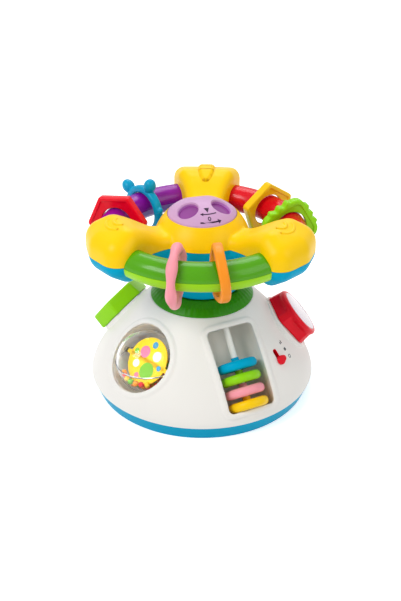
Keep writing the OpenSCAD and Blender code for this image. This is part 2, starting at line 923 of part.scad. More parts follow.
// Post in the hub with the spindle that the dial turns on
module lamp_tower() {
    color([0.9, 0.9, 0.88])
        rotate_extrude($fn = 96)
            polygon([[0, tower_z], [tower_flange_r, tower_z], [tower_flange_r, tower_z + tower_flange_t],
                [tower_r, tower_z + tower_flange_t], [tower_r, shelf_z - shelf_t], [shelf_r, shelf_z - shelf_t],
                [shelf_r, shelf_z], [spindle_r, shelf_z], [spindle_r, spindle_top_z], [0, spindle_top_z]]);
}

module lamp_board() {
    color([0.1, 0.4, 0.2])
        translate([0, 0, board_z])
            ring_of(spindle_r + 0.3, shelf_r - 1, board_t);
}

module lamp_leds() {
    color([0.95, 0.95, 0.8])
        for (i = [0 : 2])
            rotate([0, 0, lens_turn + 120 * i])
                translate([lens_ring_r - 5, 0, board_z + board_t + seat_gap]) {
                    cylinder(r = led_r, h = led_h);
                    translate([0, 0, led_h])
                        sphere(led_r);
                }
}

module lamp_cells() {
    color([0.78, 0.78, 0.8])
        for (i = [0 : 2])
            rotate([0, 0, 60 + 120 * i])
                translate([(tower_r + tower_flange_r) / 2, 0, tower_z + tower_flange_t + seat_gap])
                    cylinder(r = 4.8, h = 5.4);
}

module wheel_screws() {
    color([0.7, 0.7, 0.72])
        wheel_bosses()
            translate([0, 0, -arm_rise])
                screw(arm_rise + 6);
}

// Projector dial

dial_in_r = dial_r - 2 * dial_wall;
lens_turn = 225;
lens_depth = 7;
lens_t = 2;
lens_bevel = 0.9;

// The three directions of the lens holes, square to the dial's round top
module at_lenses() {
    for (i = [0 : 2])
        translate([0, 0, dome_mid_z])
            rotate([0, 0, lens_turn + 120 * i])
                rotate([0, lens_tilt, 0])
                    translate([0, 0, dome_r])
                        children();
}

module projector_dial() {
    color([0.8, 0.63, 0.84])
        difference() {
            union() {
                rotate_extrude($fn = 96)
                    polygon(concat(hub_arc(dome_r, acos(dial_r / dome_r), 90, 14),
                        hub_arc(dome_r - dial_wall, 90, acos(dial_in_r / (dome_r - dial_wall)), 12),
                        [[dial_in_r, dial_z - 1.4], [dial_r, dial_z - 1.4]]));
                intersection() {
                    at_lenses()
                        translate([0, 0, -lens_depth - lens_t - 1])
                            cylinder(r = lens_r + 1.8, h = lens_depth + lens_t);
                    dial_fill();
                }
                intersection() {
                    translate([0, 0, spindle_top_z - 8])
                        cylinder(r = spindle_r + 2.4, h = 30);
                    dial_fill();
                }
            }
            at_lenses()
                translate([0, 0, -lens_depth])
                    cylinder(r = lens_r, h = lens_depth + 5);
            at_lenses()
                translate([0, 0, -2 * lens_bevel])
                    cylinder(r1 = lens_r - lens_bevel, r2 = lens_r + 2 * lens_bevel, h = 3 * lens_bevel);
            at_lenses()
                translate([0, 0, -lens_depth - lens_t - 3])
                    cylinder(r = lens_r - 1.4, h = lens_depth);
            translate([0, 0, spindle_top_z - 20])
                cylinder(r = spindle_r + shaft_gap, h = 20.4);
        }
}

// Space under the dial's round top
module dial_fill() {
    rotate_extrude($fn = 96)
        polygon(concat([[0, dial_z - 10]], [[dial_r - 2, dial_z - 10]],
            hub_arc(dome_r - 0.6, acos((dial_r - 2) / (dome_r - 0.6)), 90, 12)));
}

module dial_lenses() {
    color([0.75, 0.5, 0.75, 0.7])
        at_lenses()
            translate([0, 0, -lens_depth + 0.05])
                cylinder(r = lens_r - seat_gap, h = lens_t);
}

// Rings

wavy_az = 256.7;
flat_az = 283.8;
hexagon_ring_az = 165.3;
eared_az = 136;
pentagon_az = 44;
toothed_az = 14.8;
hang = 0.3;

// Moves a ring to its place on a tube. The ring lies in its own XY plane, +X points away from the hub
// and +Y points up. The hole rests on the tube on the side given by the angle lean, from +X, with the
// slack on the other side. The ring is tipped about +X by tilt and about +Y by yaw.
module on_tube(az, slack, lean, tilt, yaw) {
    rotate([0, 0, az + wheel_turn])
        translate([tube_ring_r - slack * cos(lean), 0, tube_z - slack * sin(lean)])
            rotate([90, 0, 0])
                rotate([tilt, yaw, 0])
                    children();
}

// Slack of a plate ring's hole on the tube, less what its tip takes up over its thickness
function plate_slack(hole_r, tilt, yaw) =
    hole_r - tube_r - hang - ring_t / 2 * (sin(abs(tilt)) + sin(abs(yaw)));

// Closed ring: at(a, j) gives the radius and height of corner j of its section at the angle a
module swept_ring(steps, sides, at) {
    polyhedron(
        points = [for (i = [0 : steps - 1], j = [0 : sides - 1])
            let (a = 360 * i / steps, p = at(a, j))
                [p[0] * cos(a), p[0] * sin(a), p[1]]],
        faces = [for (i = [0 : steps - 1], j = [0 : sides - 1], half = [0, 1])
            let (i1 = (i + 1) % steps, j1 = (j + 1) % sides)
                half == 0 ? [i * sides + j, i * sides + j1, i1 * sides + j1]
                    : [i * sides + j, i1 * sides + j1, i1 * sides + j]]);
}

// Ring of thick and thin places: its round section swells six times on the way round
module wavy_ring() {
    waves = 6;
    sides = 10;
    thin = 0.72;
    thick_at = 42.7;
    mean_r = wavy_hole_r + wavy_cord_r;
    cord = function(a) wavy_cord_r * (thin + (1 - thin) * (1 + cos(waves * (a - thick_at))) / 2);
    color([0.98, 0.62, 0.68])
        on_tube(wavy_az, wavy_hole_r - tube_r - hang, 37, 0, 6.7)
            swept_ring(48, sides, function(a, j)
                [mean_r + cord(a) * cos(360 * j / sides), cord(a) * sin(360 * j / sides)]);
}

// Plain band that bends a little to one side and back, twice on the way round
module flat_ring() {
    edge = 1.6;
    inner_edge = 0.6;
    bend_at = -33;
    top = flat_w / 2;
    section = [[flat_hole_r + inner_edge, -top], [flat_r - edge, -top], [flat_r, edge - top],
        [flat_r, top - edge], [flat_r - edge, top], [flat_hole_r + inner_edge, top],
        [flat_hole_r, top - inner_edge], [flat_hole_r, inner_edge - top]];
    color([1, 0.57, 0.16])
        on_tube(flat_az, flat_hole_r - tube_r - 3 * hang, 0, 2, 0)
            swept_ring(60, len(section), function(a, j)
                section[j] - [0, flat_bend * cos(2 * (a - bend_at))]);
}

// Flat plate ring with a raised border: an outline, a dished face on both sides and a round hole
module plate_ring(hole_r, border) {
    difference() {
        translate([0, 0, -ring_t / 2])
            linear_extrude(ring_t)
                children(0);
        for (side = [-1, 1])
            translate([0, 0, side > 0 ? ring_t / 2 - border : -ring_t / 2 - 1])
                linear_extrude(border + 1)
                    children(1);
        cylinder(r = hole_r, h = 2 * ring_t, center = true);
    }
}

// Regular outline with rounded corners
module soft_polygon(r, sides, corner) {
    hull()
        for (i = [0 : sides - 1])
            rotate(360 / sides * i)
                translate([r - corner / cos(180 / sides), 0])
                    circle(corner, $fn = 32);
}

module hexagon_ring() {
    tilt = 2.7;
    yaw = -1.8;
    color([0.92, 0.07, 0.16])
        on_tube(hexagon_ring_az, plate_slack(hex_hole_r, tilt, yaw), 45, tilt, yaw)
            plate_ring(hex_hole_r, 1.2) {
                rotate(-6.5) soft_polygon(hex_ring_r, 6, 3);
                rotate(-6.5) soft_polygon(hex_ring_r - 4.4, 6, 1.5);
            }
}

module pentagon_ring() {
    tilt = 3.5;
    yaw = -7.3;
    corner = 4;
    border = 4.6;
    color([0.98, 0.7, 0.12])
        on_tube(pentagon_az, plate_slack(pentagon_hole_r, tilt, yaw), 30, tilt, yaw)
            plate_ring(pentagon_hole_r, 1.6) {
                rotate(92) soft_polygon(pentagon_r, 5, corner);
                rotate(92) soft_polygon(pentagon_r - border, 5, corner / 2);
            }
}

// Ring with two egg-shaped ears at the top and a small nub at the side
module eared_ring() {
    ear_reach = eared_r + 4.7;
    nub_r = 3.3;
    color([0.08, 0.64, 0.78])
        on_tube(eared_az, eared_hole_r - tube_r - hang, 60, 0, 0)
            difference() {
                union() {
                    rotate_extrude($fn = 96)
                        translate([(eared_r + eared_hole_r) / 2, 0])
                            scale_band((eared_r - eared_hole_r) / 2, ring_t / 2);
                    for (a = [36.8, 108.3])
                        rotate([0, 0, a])
                            translate([ear_reach, 0, 0])
                                rotate([0, 90, 0])
                                    ear();
                    rotate([0, 0, 165])
                        translate([eared_r - 0.5, 0, 0])
                            sphere(nub_r);
                }
                cylinder(r = eared_hole_r - eps, h = 40, center = true);
            }
}

// Section of a band with round outer corners
module scale_band(half_r, half_t) {
    round_rect(2 * half_r, 2 * half_t, min(half_r, half_t) * 0.8);
}

// Egg: a revolved outline, blunt towards +Z
module ear() {
    rotate_extrude($fn = 48)
        polygon([for (i = [0 : 16])
            let (a = -90 + 180 * i / 16)
                [ear_r * cos(a) * (1 - 0.18 * sin(a)), 1.25 * ear_r * sin(a)]]);
}

// Reach of a regular outline with rounded corners, at the angle a from the middle of a side
function soft_reach(a, r, sides, corner) =
    let (half = 180 / sides, mid = r - corner / cos(half), side_r = r * cos(half))
        side_r * tan(abs(a)) <= mid * sin(half) ? side_r / cos(a)
            : mid * cos(half - abs(a)) + sqrt(corner * corner - pow(mid * sin(half - abs(a)), 2));

// Rounded square with three soft teeth along each side
module toothed_ring() {
    yaw = 6.8;
    border = 5.6;
    half_l = (toothed_r - toothed_corner / cos(45)) * sin(45);
    run = function(a) toothed_r * cos(45) * tan(a) / half_l;
    lift = function(a) abs(run(a)) < 1 ? tooth * (1 + cos(540 * run(a))) / 2 : 0;
    color([0.5, 0.83, 0.13])
        on_tube(toothed_az, plate_slack(toothed_hole_r, 0, yaw), 66, 0, yaw)
            plate_ring(toothed_hole_r, 1.4) {
                rotate(121)
                    polygon([for (i = [0 : 143])
                        let (a = 2.5 * i, b = (a + 45) % 90 - 45)
                            (soft_reach(b, toothed_r, 4, toothed_corner) + lift(b)) * [cos(a), sin(a)]]);
                rotate(76)
                    soft_polygon(toothed_r - border, 4, toothed_corner - border / 2);
            }
}

// Discs on the rod

// Thick disc with a hub on its uphill side that keeps it off the next disc
module play_disc(i) {
    edge = 3;
    hub_wall = 1.8;
    hub_edge = 0.6;
    hub_up = disc_hub_l - disc_t / 2;
    on_dome(disc_az, feature_u)
        translate([disc_x[i], 0, -rod_depth])
            rotate([0, 90, 0])
                rotate_extrude($fn = 96)
                    polygon(concat([[disc_bore_r, -hub_up], [disc_bore_r + hub_wall - hub_edge, -hub_up],
                        [disc_bore_r + hub_wall, hub_edge - hub_up], [disc_bore_r + hub_wall, -disc_t / 2]],
                        [for (a = [0 : 15 : 90]) [disc_r - edge, edge - disc_t / 2] + edge * [sin(a), -cos(a)]],
                        [for (a = [0 : 15 : 90]) [disc_r - edge, disc_t / 2 - edge] + edge * [cos(a), sin(a)]],
                        [[disc_bore_r, disc_t / 2]]));
}

module yellow_disc() {
    color([1, 0.76, 0.06]) play_disc(0);
}
module pink_disc() {
    color([0.98, 0.55, 0.65]) play_disc(1);
}
module green_disc() {
    color([0.5, 0.83, 0.08]) play_disc(2);
}
module blue_disc() {
    color([0.06, 0.6, 0.78]) play_disc(3);
}

// Ball

// Moves to the middle of the ball, with +X along its pivots and +Z up
module at_ball() {
    n = outward(feature_u);
    rotate([0, 0, ball_az])
        translate([curve(feature_u)[0] - ball_depth * n[0], 0, curve(feature_u)[1] - ball_depth * n[1]])
            rotate([0, 0, 90])
                children();
}

module ball_half(up) {
    at_ball()
        intersection() {
            union() {
                difference() {
                    sphere(ball_r, $fn = 96);
                    sphere(ball_r - ball_wall, $fn = 96);
                }
                for (side = [-1, 1])
                    rotate([0, side * 90, 0])
                        translate([0, 0, ball_r - ball_wall / 2])
                            cylinder(r = ball_pin_r, h = pin_reach - ball_r + ball_wall / 2);
            }
            translate([0, 0, up * (far / 2 + 0.02)])
                cube(far, center = true);
        }
}

module ball_upper_shell() {
    color([0.9, 0.93, 0.95, 0.4]) ball_half(1);
}
module ball_lower_shell() {
    color([0.9, 0.93, 0.95, 0.4]) ball_half(-1);
}

// Picture disc that faces out of the window, held by a tab at each pivot
module picture_disc() {
    n = outward(feature_u);
    tab_w = 4;
    color([0.98, 0.82, 0.1])
        at_ball()
            rotate([atan2(n[0], n[1]), 0, 0]) {
                cylinder(r = picture_r, h = 1.6, center = true);
                cube([2 * (ball_r - ball_wall) - 0.8, tab_w, 1.6], center = true);
            }
}

// Beads that lie in the bottom of the ball, in rings about its lowest point
module ball_beads() {
    reach = ball_r - ball_wall - bead_r - 0.1;
    step = 2 * asin((bead_r + 0.15) / reach);
    color([0.95, 0.65, 0.1])
        at_ball()
            for (ring = [0 : 2], i = [0 : max(0, floor(360 * sin(ring * step) / step - 0.3) - 1)])
                let (count = max(1, floor(360 * sin(ring * step) / step - 0.3)))
                    rotate([0, 0, 360 * i / count])
                        rotate([0, 180 - ring * step, 0])
                            translate([0, 0, reach])
                                sphere(bead_r, $fn = 32);
}

// Knobs

knob_low = seat_h + run_gap;
clip_r = stem_r + 3.4;
clip_t = 2;
clip_low = seat_t + run_gap;

module knob_stem() {
    translate([0, 0, -clip_low])
        cylinder(r = stem_r, h = clip_low + knob_low + 2);
    translate([0, 0, -clip_low - clip_t - 0.6])
        cylinder(r = stem_r - 1.3, h = clip_t + 1.2);
}

module knob_clip() {
    translate([0, 0, -clip_low - clip_t])
        difference() {
            cylinder(r = clip_r, h = clip_t - seat_gap);
            translate([0, 0, -1])
                cylinder(r = stem_r - 1.3 + seat_gap, h = clip_t + 2);
        }
}

skirt_h = 3;
scallop_low = 3.4;
scallop_start = 3;
mirror_t = 1.6;
mirror_r = knob_face_r - 2.6;

// Tapered round knob with finger scallops in its side and a seat for the mirror
module mirror_knob() {
    color([0.85, 0.08, 0.16])
        on_dome(mirror_az, feature_u) {
            difference() {
                rotate_extrude($fn = 96)
                    polygon([[0, knob_low], [knob_r - 0.8, knob_low], [knob_r, knob_low + 0.8],
                        [knob_r - 0.3, knob_low + skirt_h], [knob_face_r + 0.6, knob_h - 1.6],
                        [knob_face_r - 0.6, knob_h], [0, knob_h]]);
                for (i = [0 : knob_scallops - 1])
                    rotate([0, 0, scallop_start + 360 / knob_scallops * i])
                        translate([knob_r - scallop_d + scallop_r, 0, knob_low + scallop_low])
                            cylinder(r = scallop_r, h = knob_h - knob_low - 2 * scallop_low);
                translate([0, 0, knob_h - mirror_t - seat_gap])
                    cylinder(r = mirror_r + seat_gap, h = 6);
            }
            knob_stem();
        }
}

module knob_mirror() {
    color([0.9, 0.9, 0.93])
        on_dome(mirror_az, feature_u)
            translate([0, 0, knob_h - mirror_t])
                cylinder(r = mirror_r, h = mirror_t - 0.3);
}

module mirror_knob_clip() {
    color([0.75, 0.75, 0.77])
        on_dome(mirror_az, feature_u) knob_clip();
}

hex_edge = 3;
hex_taper = 1.6;
hex_dish = 2;
hex_dish_r = hex_knob_r * 0.6;

// Six-sided tapered knob with a dished face
module hexagon_knob() {
    color([0.55, 0.85, 0.16])
        on_dome(hexagon_az, hexagon_u) {
            difference() {
                translate([0, 0, knob_low])
                    rotate([0, 0, hexagon_knob_turn])
                        hull()
                            for (i = [0 : 5])
                                rotate([0, 0, 60 * i])
                                    translate([hex_knob_r - hex_edge, 0, 0]) {
                                        cylinder(r = hex_edge, h = 1, $fn = 24);
                                        translate([-hex_taper, 0, hex_knob_h - knob_low - hex_edge])
                                            sphere(hex_edge, $fn = 24);
                                    }
                translate([0, 0, hex_knob_h - hex_dish])
                    cylinder(r1 = hex_dish_r - hex_dish, r2 = hex_dish_r + hex_dish, h = 2 * hex_dish);
            }
            knob_stem();
        }
}

module hexagon_knob_clip() {
    color([0.75, 0.75, 0.77])
        on_dome(hexagon_az, hexagon_u) knob_clip();
}

// Slide switch: a plate under the slot, a neck through it and a pear-shaped thumb piece
module switch_slider() {
    plate_t = 1.2;
    plate_l = slot_l + 2 * switch_travel + 2;
    plate_edge = 1.4;
    plate_z = -switch_deep + 0.3;
    cap_z = 0.5;
    cap_t = 2.6;
    cap_r = 4.5;
    tip_r = 2.8;
    color([0.84, 0.06, 0.14])
        on_dome(switch_az, switch_u)
            translate([switch_set, 0, 0]) {
                translate([-plate_l / 2, -slot_w / 2 - plate_edge, plate_z])
                    cube([plate_l, slot_w + 2 * plate_edge, plate_t]);
                translate([0, 0, plate_z])
                    linear_extrude(cap_z - plate_z + 0.5)
                        round_rect(slot_l - 2 * switch_travel - 2 * run_gap, slot_w - 2 * run_gap,
                            slot_w / 2 - run_gap - eps);
                translate([0, 0, cap_z])
                    linear_extrude(cap_t)
                        hull() {
                            circle(cap_r, $fn = 32);
                            translate([0, cap_r])
                                circle(tip_r, $fn = 32);
                        }
            }
}

base_tray();
base_dome();
light_collar();
collar_diffuser();
ball_cup();
disc_well();
disc_rod();
neck_frame();
battery_door();
batteries();
battery_contacts();
main_board();
speaker();
collar_lamps();
switch_body();
base_screws();
wheel_top_shell();
wheel_bottom_shell();
wheel_shaft();
shaft_retainer();
green_tube_top();
green_tube_bottom();
purple_tube_top();
purple_tube_bottom();
red_tube_top();
red_tube_bottom();
lamp_tower();
lamp_board();
lamp_leds();
lamp_cells();
wheel_screws();
projector_dial();
dial_lenses();
wavy_ring();
flat_ring();
hexagon_ring();
eared_ring();
pentagon_ring();
toothed_ring();
blue_disc();
green_disc();
pink_disc();
yellow_disc();
ball_upper_shell();
ball_lower_shell();
picture_disc();
ball_beads();
mirror_knob();
knob_mirror();
mirror_knob_clip();
hexagon_knob();
hexagon_knob_clip();
switch_slider();
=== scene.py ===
from bisect import bisect_left
from math import acos, asin, atan2, cos, pi, radians, sin, sqrt

import bmesh
import bpy
from mathutils import Matrix, Vector
from mathutils.bvhtree import BVHTree


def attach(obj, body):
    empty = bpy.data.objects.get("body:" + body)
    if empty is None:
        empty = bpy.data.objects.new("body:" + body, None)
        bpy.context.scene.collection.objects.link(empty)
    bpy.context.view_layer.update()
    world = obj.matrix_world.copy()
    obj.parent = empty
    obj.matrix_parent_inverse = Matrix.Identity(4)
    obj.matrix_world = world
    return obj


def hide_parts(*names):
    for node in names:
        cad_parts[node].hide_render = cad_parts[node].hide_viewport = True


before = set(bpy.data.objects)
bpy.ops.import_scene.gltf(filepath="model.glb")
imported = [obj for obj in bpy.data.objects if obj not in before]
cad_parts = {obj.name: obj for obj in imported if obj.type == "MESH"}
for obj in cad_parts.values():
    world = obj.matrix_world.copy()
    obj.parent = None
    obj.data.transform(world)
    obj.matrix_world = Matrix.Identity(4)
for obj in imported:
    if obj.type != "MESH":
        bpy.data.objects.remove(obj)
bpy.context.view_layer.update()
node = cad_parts

# View. The camera stands where the photograph was taken from, about a metre away and thirty degrees
# above the table. The object stands on a pale floor in the soft light of three large lamps. Floor and
# room look white to the camera, in gloss and through glass, and add no more than plain light.
image_height_px = 601
focal_px = 1011
floor_half, floor_grey, floor_lift, room_light = 6, 0.93, 0.55, 0.42
lit_point = Vector((0, 0, 0.1))
aim = Vector((-0.00148, 0, 0.0891))
eye = Vector((-0.00148, -0.8662, 0.5888))
camera_data = bpy.data.cameras.new("photo_camera")
camera_data.sensor_width = 36
camera_data.lens = camera_data.sensor_width * focal_px / image_height_px
camera = bpy.data.objects.new("photo_camera", camera_data)
camera.location = eye
camera.rotation_euler = (aim - eye).to_track_quat("-Z", "Y").to_euler()
bpy.context.scene.collection.objects.link(camera)
bpy.context.scene.camera = camera
bpy.context.scene.view_settings.view_transform = "Standard"


def show(tree, seen, lit, out):
    """Shows one shader to rays that see it straight, in gloss or through glass, and another to the rest."""
    rays, mix = tree.nodes.new("ShaderNodeLightPath"), tree.nodes.new("ShaderNodeMixShader")
    gloss, total = tree.nodes.new("ShaderNodeMath"), tree.nodes.new("ShaderNodeMath")
    total.use_clamp = True
    for start, end in (
            (rays.outputs["Is Camera Ray"], gloss.inputs[0]),
            (rays.outputs["Is Glossy Ray"], gloss.inputs[1]),
            (gloss.outputs[0], total.inputs[0]), (rays.outputs["Is Transmission Ray"], total.inputs[1]),
            (total.outputs[0], mix.inputs[0]), (lit.outputs[0], mix.inputs[1]),
            (seen.outputs[0], mix.inputs[2]), (mix.outputs[0], out.inputs["Surface"])):
        tree.links.new(start, end)


def put_in_scene(name, bm):
    """Makes a mesh an object of the scene."""
    thing = bpy.data.objects.new(name, bpy.data.meshes.new(name))
    bm.to_mesh(thing.data)
    bm.free()
    bpy.context.scene.collection.objects.link(thing)
    return thing


floor_bm = bmesh.new()
bmesh.ops.create_grid(floor_bm, x_segments=2, y_segments=2, size=floor_half)
floor = put_in_scene("floor", floor_bm)
floor_finish = bpy.data.materials.new("pale_floor")
floor_finish.use_nodes = True
floor_nodes, floor_links = floor_finish.node_tree.nodes, floor_finish.node_tree.links
floor_nodes.clear()
floor_out = floor_nodes.new("ShaderNodeOutputMaterial")
floor_diffuse = floor_nodes.new("ShaderNodeBsdfDiffuse")
floor_diffuse.inputs["Color"].default_value = (floor_grey, floor_grey, floor_grey, 1)
floor_glow = floor_nodes.new("ShaderNodeEmission")
floor_glow.inputs["Strength"].default_value = floor_lift
floor_bright = floor_nodes.new("ShaderNodeAddShader")
floor_links.new(floor_diffuse.outputs[0], floor_bright.inputs[0])
floor_links.new(floor_glow.outputs[0], floor_bright.inputs[1])
show(floor_finish.node_tree, floor_bright, floor_diffuse, floor_out)
floor.data.materials.append(floor_finish)

world = bpy.data.worlds.new("studio")
bpy.context.scene.world = world
world.use_nodes = True
world_nodes = world.node_tree.nodes
world_nodes.clear()
world_out = world_nodes.new("ShaderNodeOutputWorld")
world_light, world_back = world_nodes.new("ShaderNodeBackground"), world_nodes.new("ShaderNodeBackground")
for light in (world_light, world_back):
    light.inputs["Color"].default_value = (1, 1, 1, 1)
world_light.inputs["Strength"].default_value = room_light
show(world.node_tree, world_back, world_light, world_out)

for name, place, size, power in (
    ("key_lamp", (-0.95, -0.7, 1.2), 0.7, 13.5),
    ("fill_lamp", (0.95, -0.6, 0.8), 0.8, 4.2),
    ("back_lamp", (0.1, 0.9, 1.3), 0.9, 9),
):
    lamp_data = bpy.data.lights.new(name, "AREA")
    lamp_data.size = size
    lamp_data.energy = power
    lamp = bpy.data.objects.new(name, lamp_data)
    lamp.location = place
    lamp.rotation_euler = (lit_point - Vector(place)).to_track_quat("-Z", "Y").to_euler()
    bpy.context.scene.collection.objects.link(lamp)


# Tray. A shallow blue tub of moulded plastic closes the base from below; five screws hold it to the
# dome. Its battery door is the same blue, and the sound holes lie under the speaker.
def moulded_grain():
    """Node group: faint cloudiness, gloss change and fine orange peel of injection-moulded plastic."""
    group = bpy.data.node_groups.new("moulded_grain", "ShaderNodeTree")
    group.interface.new_socket("Vector", in_out="INPUT", socket_type="NodeSocketVector")
    for label in ("Cloud Scale", "Peel Scale"):
        group.interface.new_socket(label, in_out="INPUT", socket_type="NodeSocketFloat")
    for label in ("Cloud", "Gloss", "Peel"):
        group.interface.new_socket(label, in_out="OUTPUT", socket_type="NodeSocketFloat")
    source = group.nodes.new("NodeGroupInput")
    sink = group.nodes.new("NodeGroupOutput")
    cloud = group.nodes.new("ShaderNodeTexNoise")
    cloud.inputs["Detail"].default_value = 3
    peel = group.nodes.new("ShaderNodeTexNoise")
    peel.inputs["Detail"].default_value = 2
    smear = group.nodes.new("ShaderNodeTexNoise")
    smear.inputs["Scale"].default_value = 34
    smear.inputs["Detail"].default_value = 4
    smear.inputs["Distortion"].default_value = 0.6
    for texture in (cloud, peel, smear):
        group.links.new(source.outputs["Vector"], texture.inputs["Vector"])
    group.links.new(source.outputs["Cloud Scale"], cloud.inputs["Scale"])
    group.links.new(source.outputs["Peel Scale"], peel.inputs["Scale"])
    group.links.new(cloud.outputs["Fac"], sink.inputs["Cloud"])
    group.links.new(smear.outputs["Fac"], sink.inputs["Gloss"])
    group.links.new(peel.outputs["Fac"], sink.inputs["Peel"])
    return group


grain = moulded_grain()


def linear(red, green, blue):
    """A colour as a paint card gives it, 0 to 255, as the light that it sends back."""
    shares = [value / 255 for value in (red, green, blue)]
    return tuple(s / 12.92 if s <= 0.04045 else ((s + 0.055) / 1.055) ** 2.4 for s in shares) + (1,)


def plastic(name, colour, rough=0.3, spread=0.12, cloud=22, shade=0.9, peel=900, peel_depth=0.05,
            clear=0.0, coat=0.0, metal=0.0, ior=1.47, sheen=0.18, lamps_through=False):
    """Moulded plastic: colour clouds a little, gloss changes a little, and the skin has fine orange peel.
    Sheen is how strongly the skin mirrors and clear is how much goes through it. Where lamps_through is
    set, lamp light reaches what lies behind it."""
    finish = bpy.data.materials.new(name)
    finish.use_nodes = True
    tree = finish.node_tree
    bsdf = tree.nodes["Principled BSDF"]
    place = tree.nodes.new("ShaderNodeTexCoord")
    skin = tree.nodes.new("ShaderNodeGroup")
    skin.node_tree = grain
    skin.inputs["Cloud Scale"].default_value = cloud
    skin.inputs["Peel Scale"].default_value = peel
    tree.links.new(place.outputs["Object"], skin.inputs["Vector"])
    mix = tree.nodes.new("ShaderNodeMix")
    mix.data_type = "RGBA"
    mix.inputs["A"].default_value = tuple(shade * c for c in colour[:3]) + (1,)
    mix.inputs["B"].default_value = colour
    tree.links.new(skin.outputs["Cloud"], mix.inputs["Factor"])
    tree.links.new(mix.outputs["Result"], bsdf.inputs["Base Color"])
    gloss = tree.nodes.new("ShaderNodeMapRange")
    gloss.inputs["To Min"].default_value = rough - spread / 2
    gloss.inputs["To Max"].default_value = rough + spread / 2
    tree.links.new(skin.outputs["Gloss"], gloss.inputs["Value"])
    tree.links.new(gloss.outputs["Result"], bsdf.inputs["Roughness"])
    bump = tree.nodes.new("ShaderNodeBump")
    bump.inputs["Strength"].default_value = peel_depth
    bump.inputs["Distance"].default_value = 0.0004
    tree.links.new(skin.outputs["Peel"], bump.inputs["Height"])
    tree.links.new(bump.outputs["Normal"], bsdf.inputs["Normal"])
    bsdf.inputs["IOR"].default_value = ior
    bsdf.inputs["Specular IOR Level"].default_value = sheen
    bsdf.inputs["Metallic"].default_value = metal
    bsdf.inputs["Transmission Weight"].default_value = clear
    bsdf.inputs["Coat Weight"].default_value = coat
    if lamps_through:
        rays = tree.nodes.new("ShaderNodeLightPath")
        gap = tree.nodes.new("ShaderNodeBsdfTransparent")
        gap.inputs["Color"].default_value = colour
        either = tree.nodes.new("ShaderNodeMixShader")
        tree.links.new(rays.outputs["Is Shadow Ray"], either.inputs[0])
        tree.links.new(bsdf.outputs[0], either.inputs[1])
        tree.links.new(gap.outputs[0], either.inputs[2])
        tree.links.new(either.outputs[0], tree.nodes["Material Output"].inputs["Surface"])
    return finish


def dress(finish, *names):
    """Gives CAD pieces that keep their own shape a finish."""
    for name in names:
        node[name].data.materials.clear()
        node[name].data.materials.append(finish)


sky_blue = plastic("sky_blue_plastic", linear(0, 168, 208), rough=0.38, sheen=0.04)
dress(sky_blue, "base_tray", "battery_door")


# Dome. One white bell-shaped moulding, with a soft raised bead round the ball window and the disc
# window, a slot for the switch, and flat round seats for the two knobs. The wall is 2.6 mm thick.
seam_r, seam_z = 112.0, 15.7
neck_r, neck_z = 50.8, 98.7
skirt_lean, skirt_rise, shoulder_pull, dome_wall = 0.8, 18.8, 30.7, 2.6
bell = [Vector((seam_r, seam_z)), Vector((seam_r - skirt_lean, seam_z + skirt_rise)),
        Vector((neck_r, neck_z)) + shoulder_pull * Vector((cos(pi / 4), -sin(pi / 4))),
        Vector((neck_r, neck_z))]


def bell_point(u):
    """Point of the dome's outline at a share u of the way from the seam to the neck."""
    a, b, c, d = bell
    return (1 - u) ** 3 * a + 3 * u * (1 - u) ** 2 * b + 3 * u * u * (1 - u) * c + u ** 3 * d


def bell_normal(u):
    """Outward direction of the dome's outline there."""
    a, b, c, d = bell
    run = (1 - u) ** 2 * (b - a) + 2 * u * (1 - u) * (c - b) + u * u * (d - c)
    return Vector((run.y, -run.x)).normalized()


def on_dome(turn, u):
    """Place on the dome: Z points outwards, X runs downhill and Y runs round the dome."""
    point, out = bell_point(u), bell_normal(u)
    return (Matrix.Rotation(radians(turn), 4, "Z") @ Matrix.Translation((point.x, 0, point.y))
            @ Matrix.Rotation(atan2(out.x, out.y), 4, "Y"))


def lathe(outline, steps, angle=2 * pi):
    """Turns a closed outline of (radius, height) points about Z."""
    bm = bmesh.new()
    ring = [bm.verts.new((r, 0, z)) for r, z in outline]
    edges = [bm.edges.new(pair) for pair in zip(ring, ring[1:] + ring[:1])]
    whole = abs(angle - 2 * pi) < 1e-6
    bmesh.ops.spin(bm, geom=ring + edges, cent=(0, 0, 0), axis=(0, 0, 1), angle=angle, steps=steps,
                   use_merge=whole)
    if not whole:
        bmesh.ops.holes_fill(bm, edges=[e for e in bm.edges if e.is_boundary], sides=0)
    bmesh.ops.remove_doubles(bm, verts=bm.verts, dist=1e-4)
    bmesh.ops.recalc_face_normals(bm, faces=bm.faces)
    return bm


def soft_outline(corners, arc):
    """Closed outline with round corners, from (x, y, corner radius)."""
    points = []
    for i, (x, y, r) in enumerate(corners):
        here = Vector((x, y))
        before = (Vector(corners[i - 1][:2]) - here).normalized()
        after = (Vector(corners[(i + 1) % len(corners)][:2]) - here).normalized()
        half = acos(max(-1, min(1, before.dot(after)))) / 2
        if r <= 0 or half > pi / 2 - 0.02:
            points.append((x, y))
            continue
        reach = r * cos(half) / sin(half)
        start, end = here + before * reach, here + after * reach
        middle = here + (before + after).normalized() * r / sin(half)
        a0 = atan2(start.y - middle.y, start.x - middle.x)
        turn = atan2(end.y - middle.y, end.x - middle.x) - a0
        turn = (turn + pi) % (2 * pi) - pi
        for k in range(arc + 1):
            a = a0 + turn * k / arc
            points.append((middle.x + r * cos(a), middle.y + r * sin(a)))
    return points


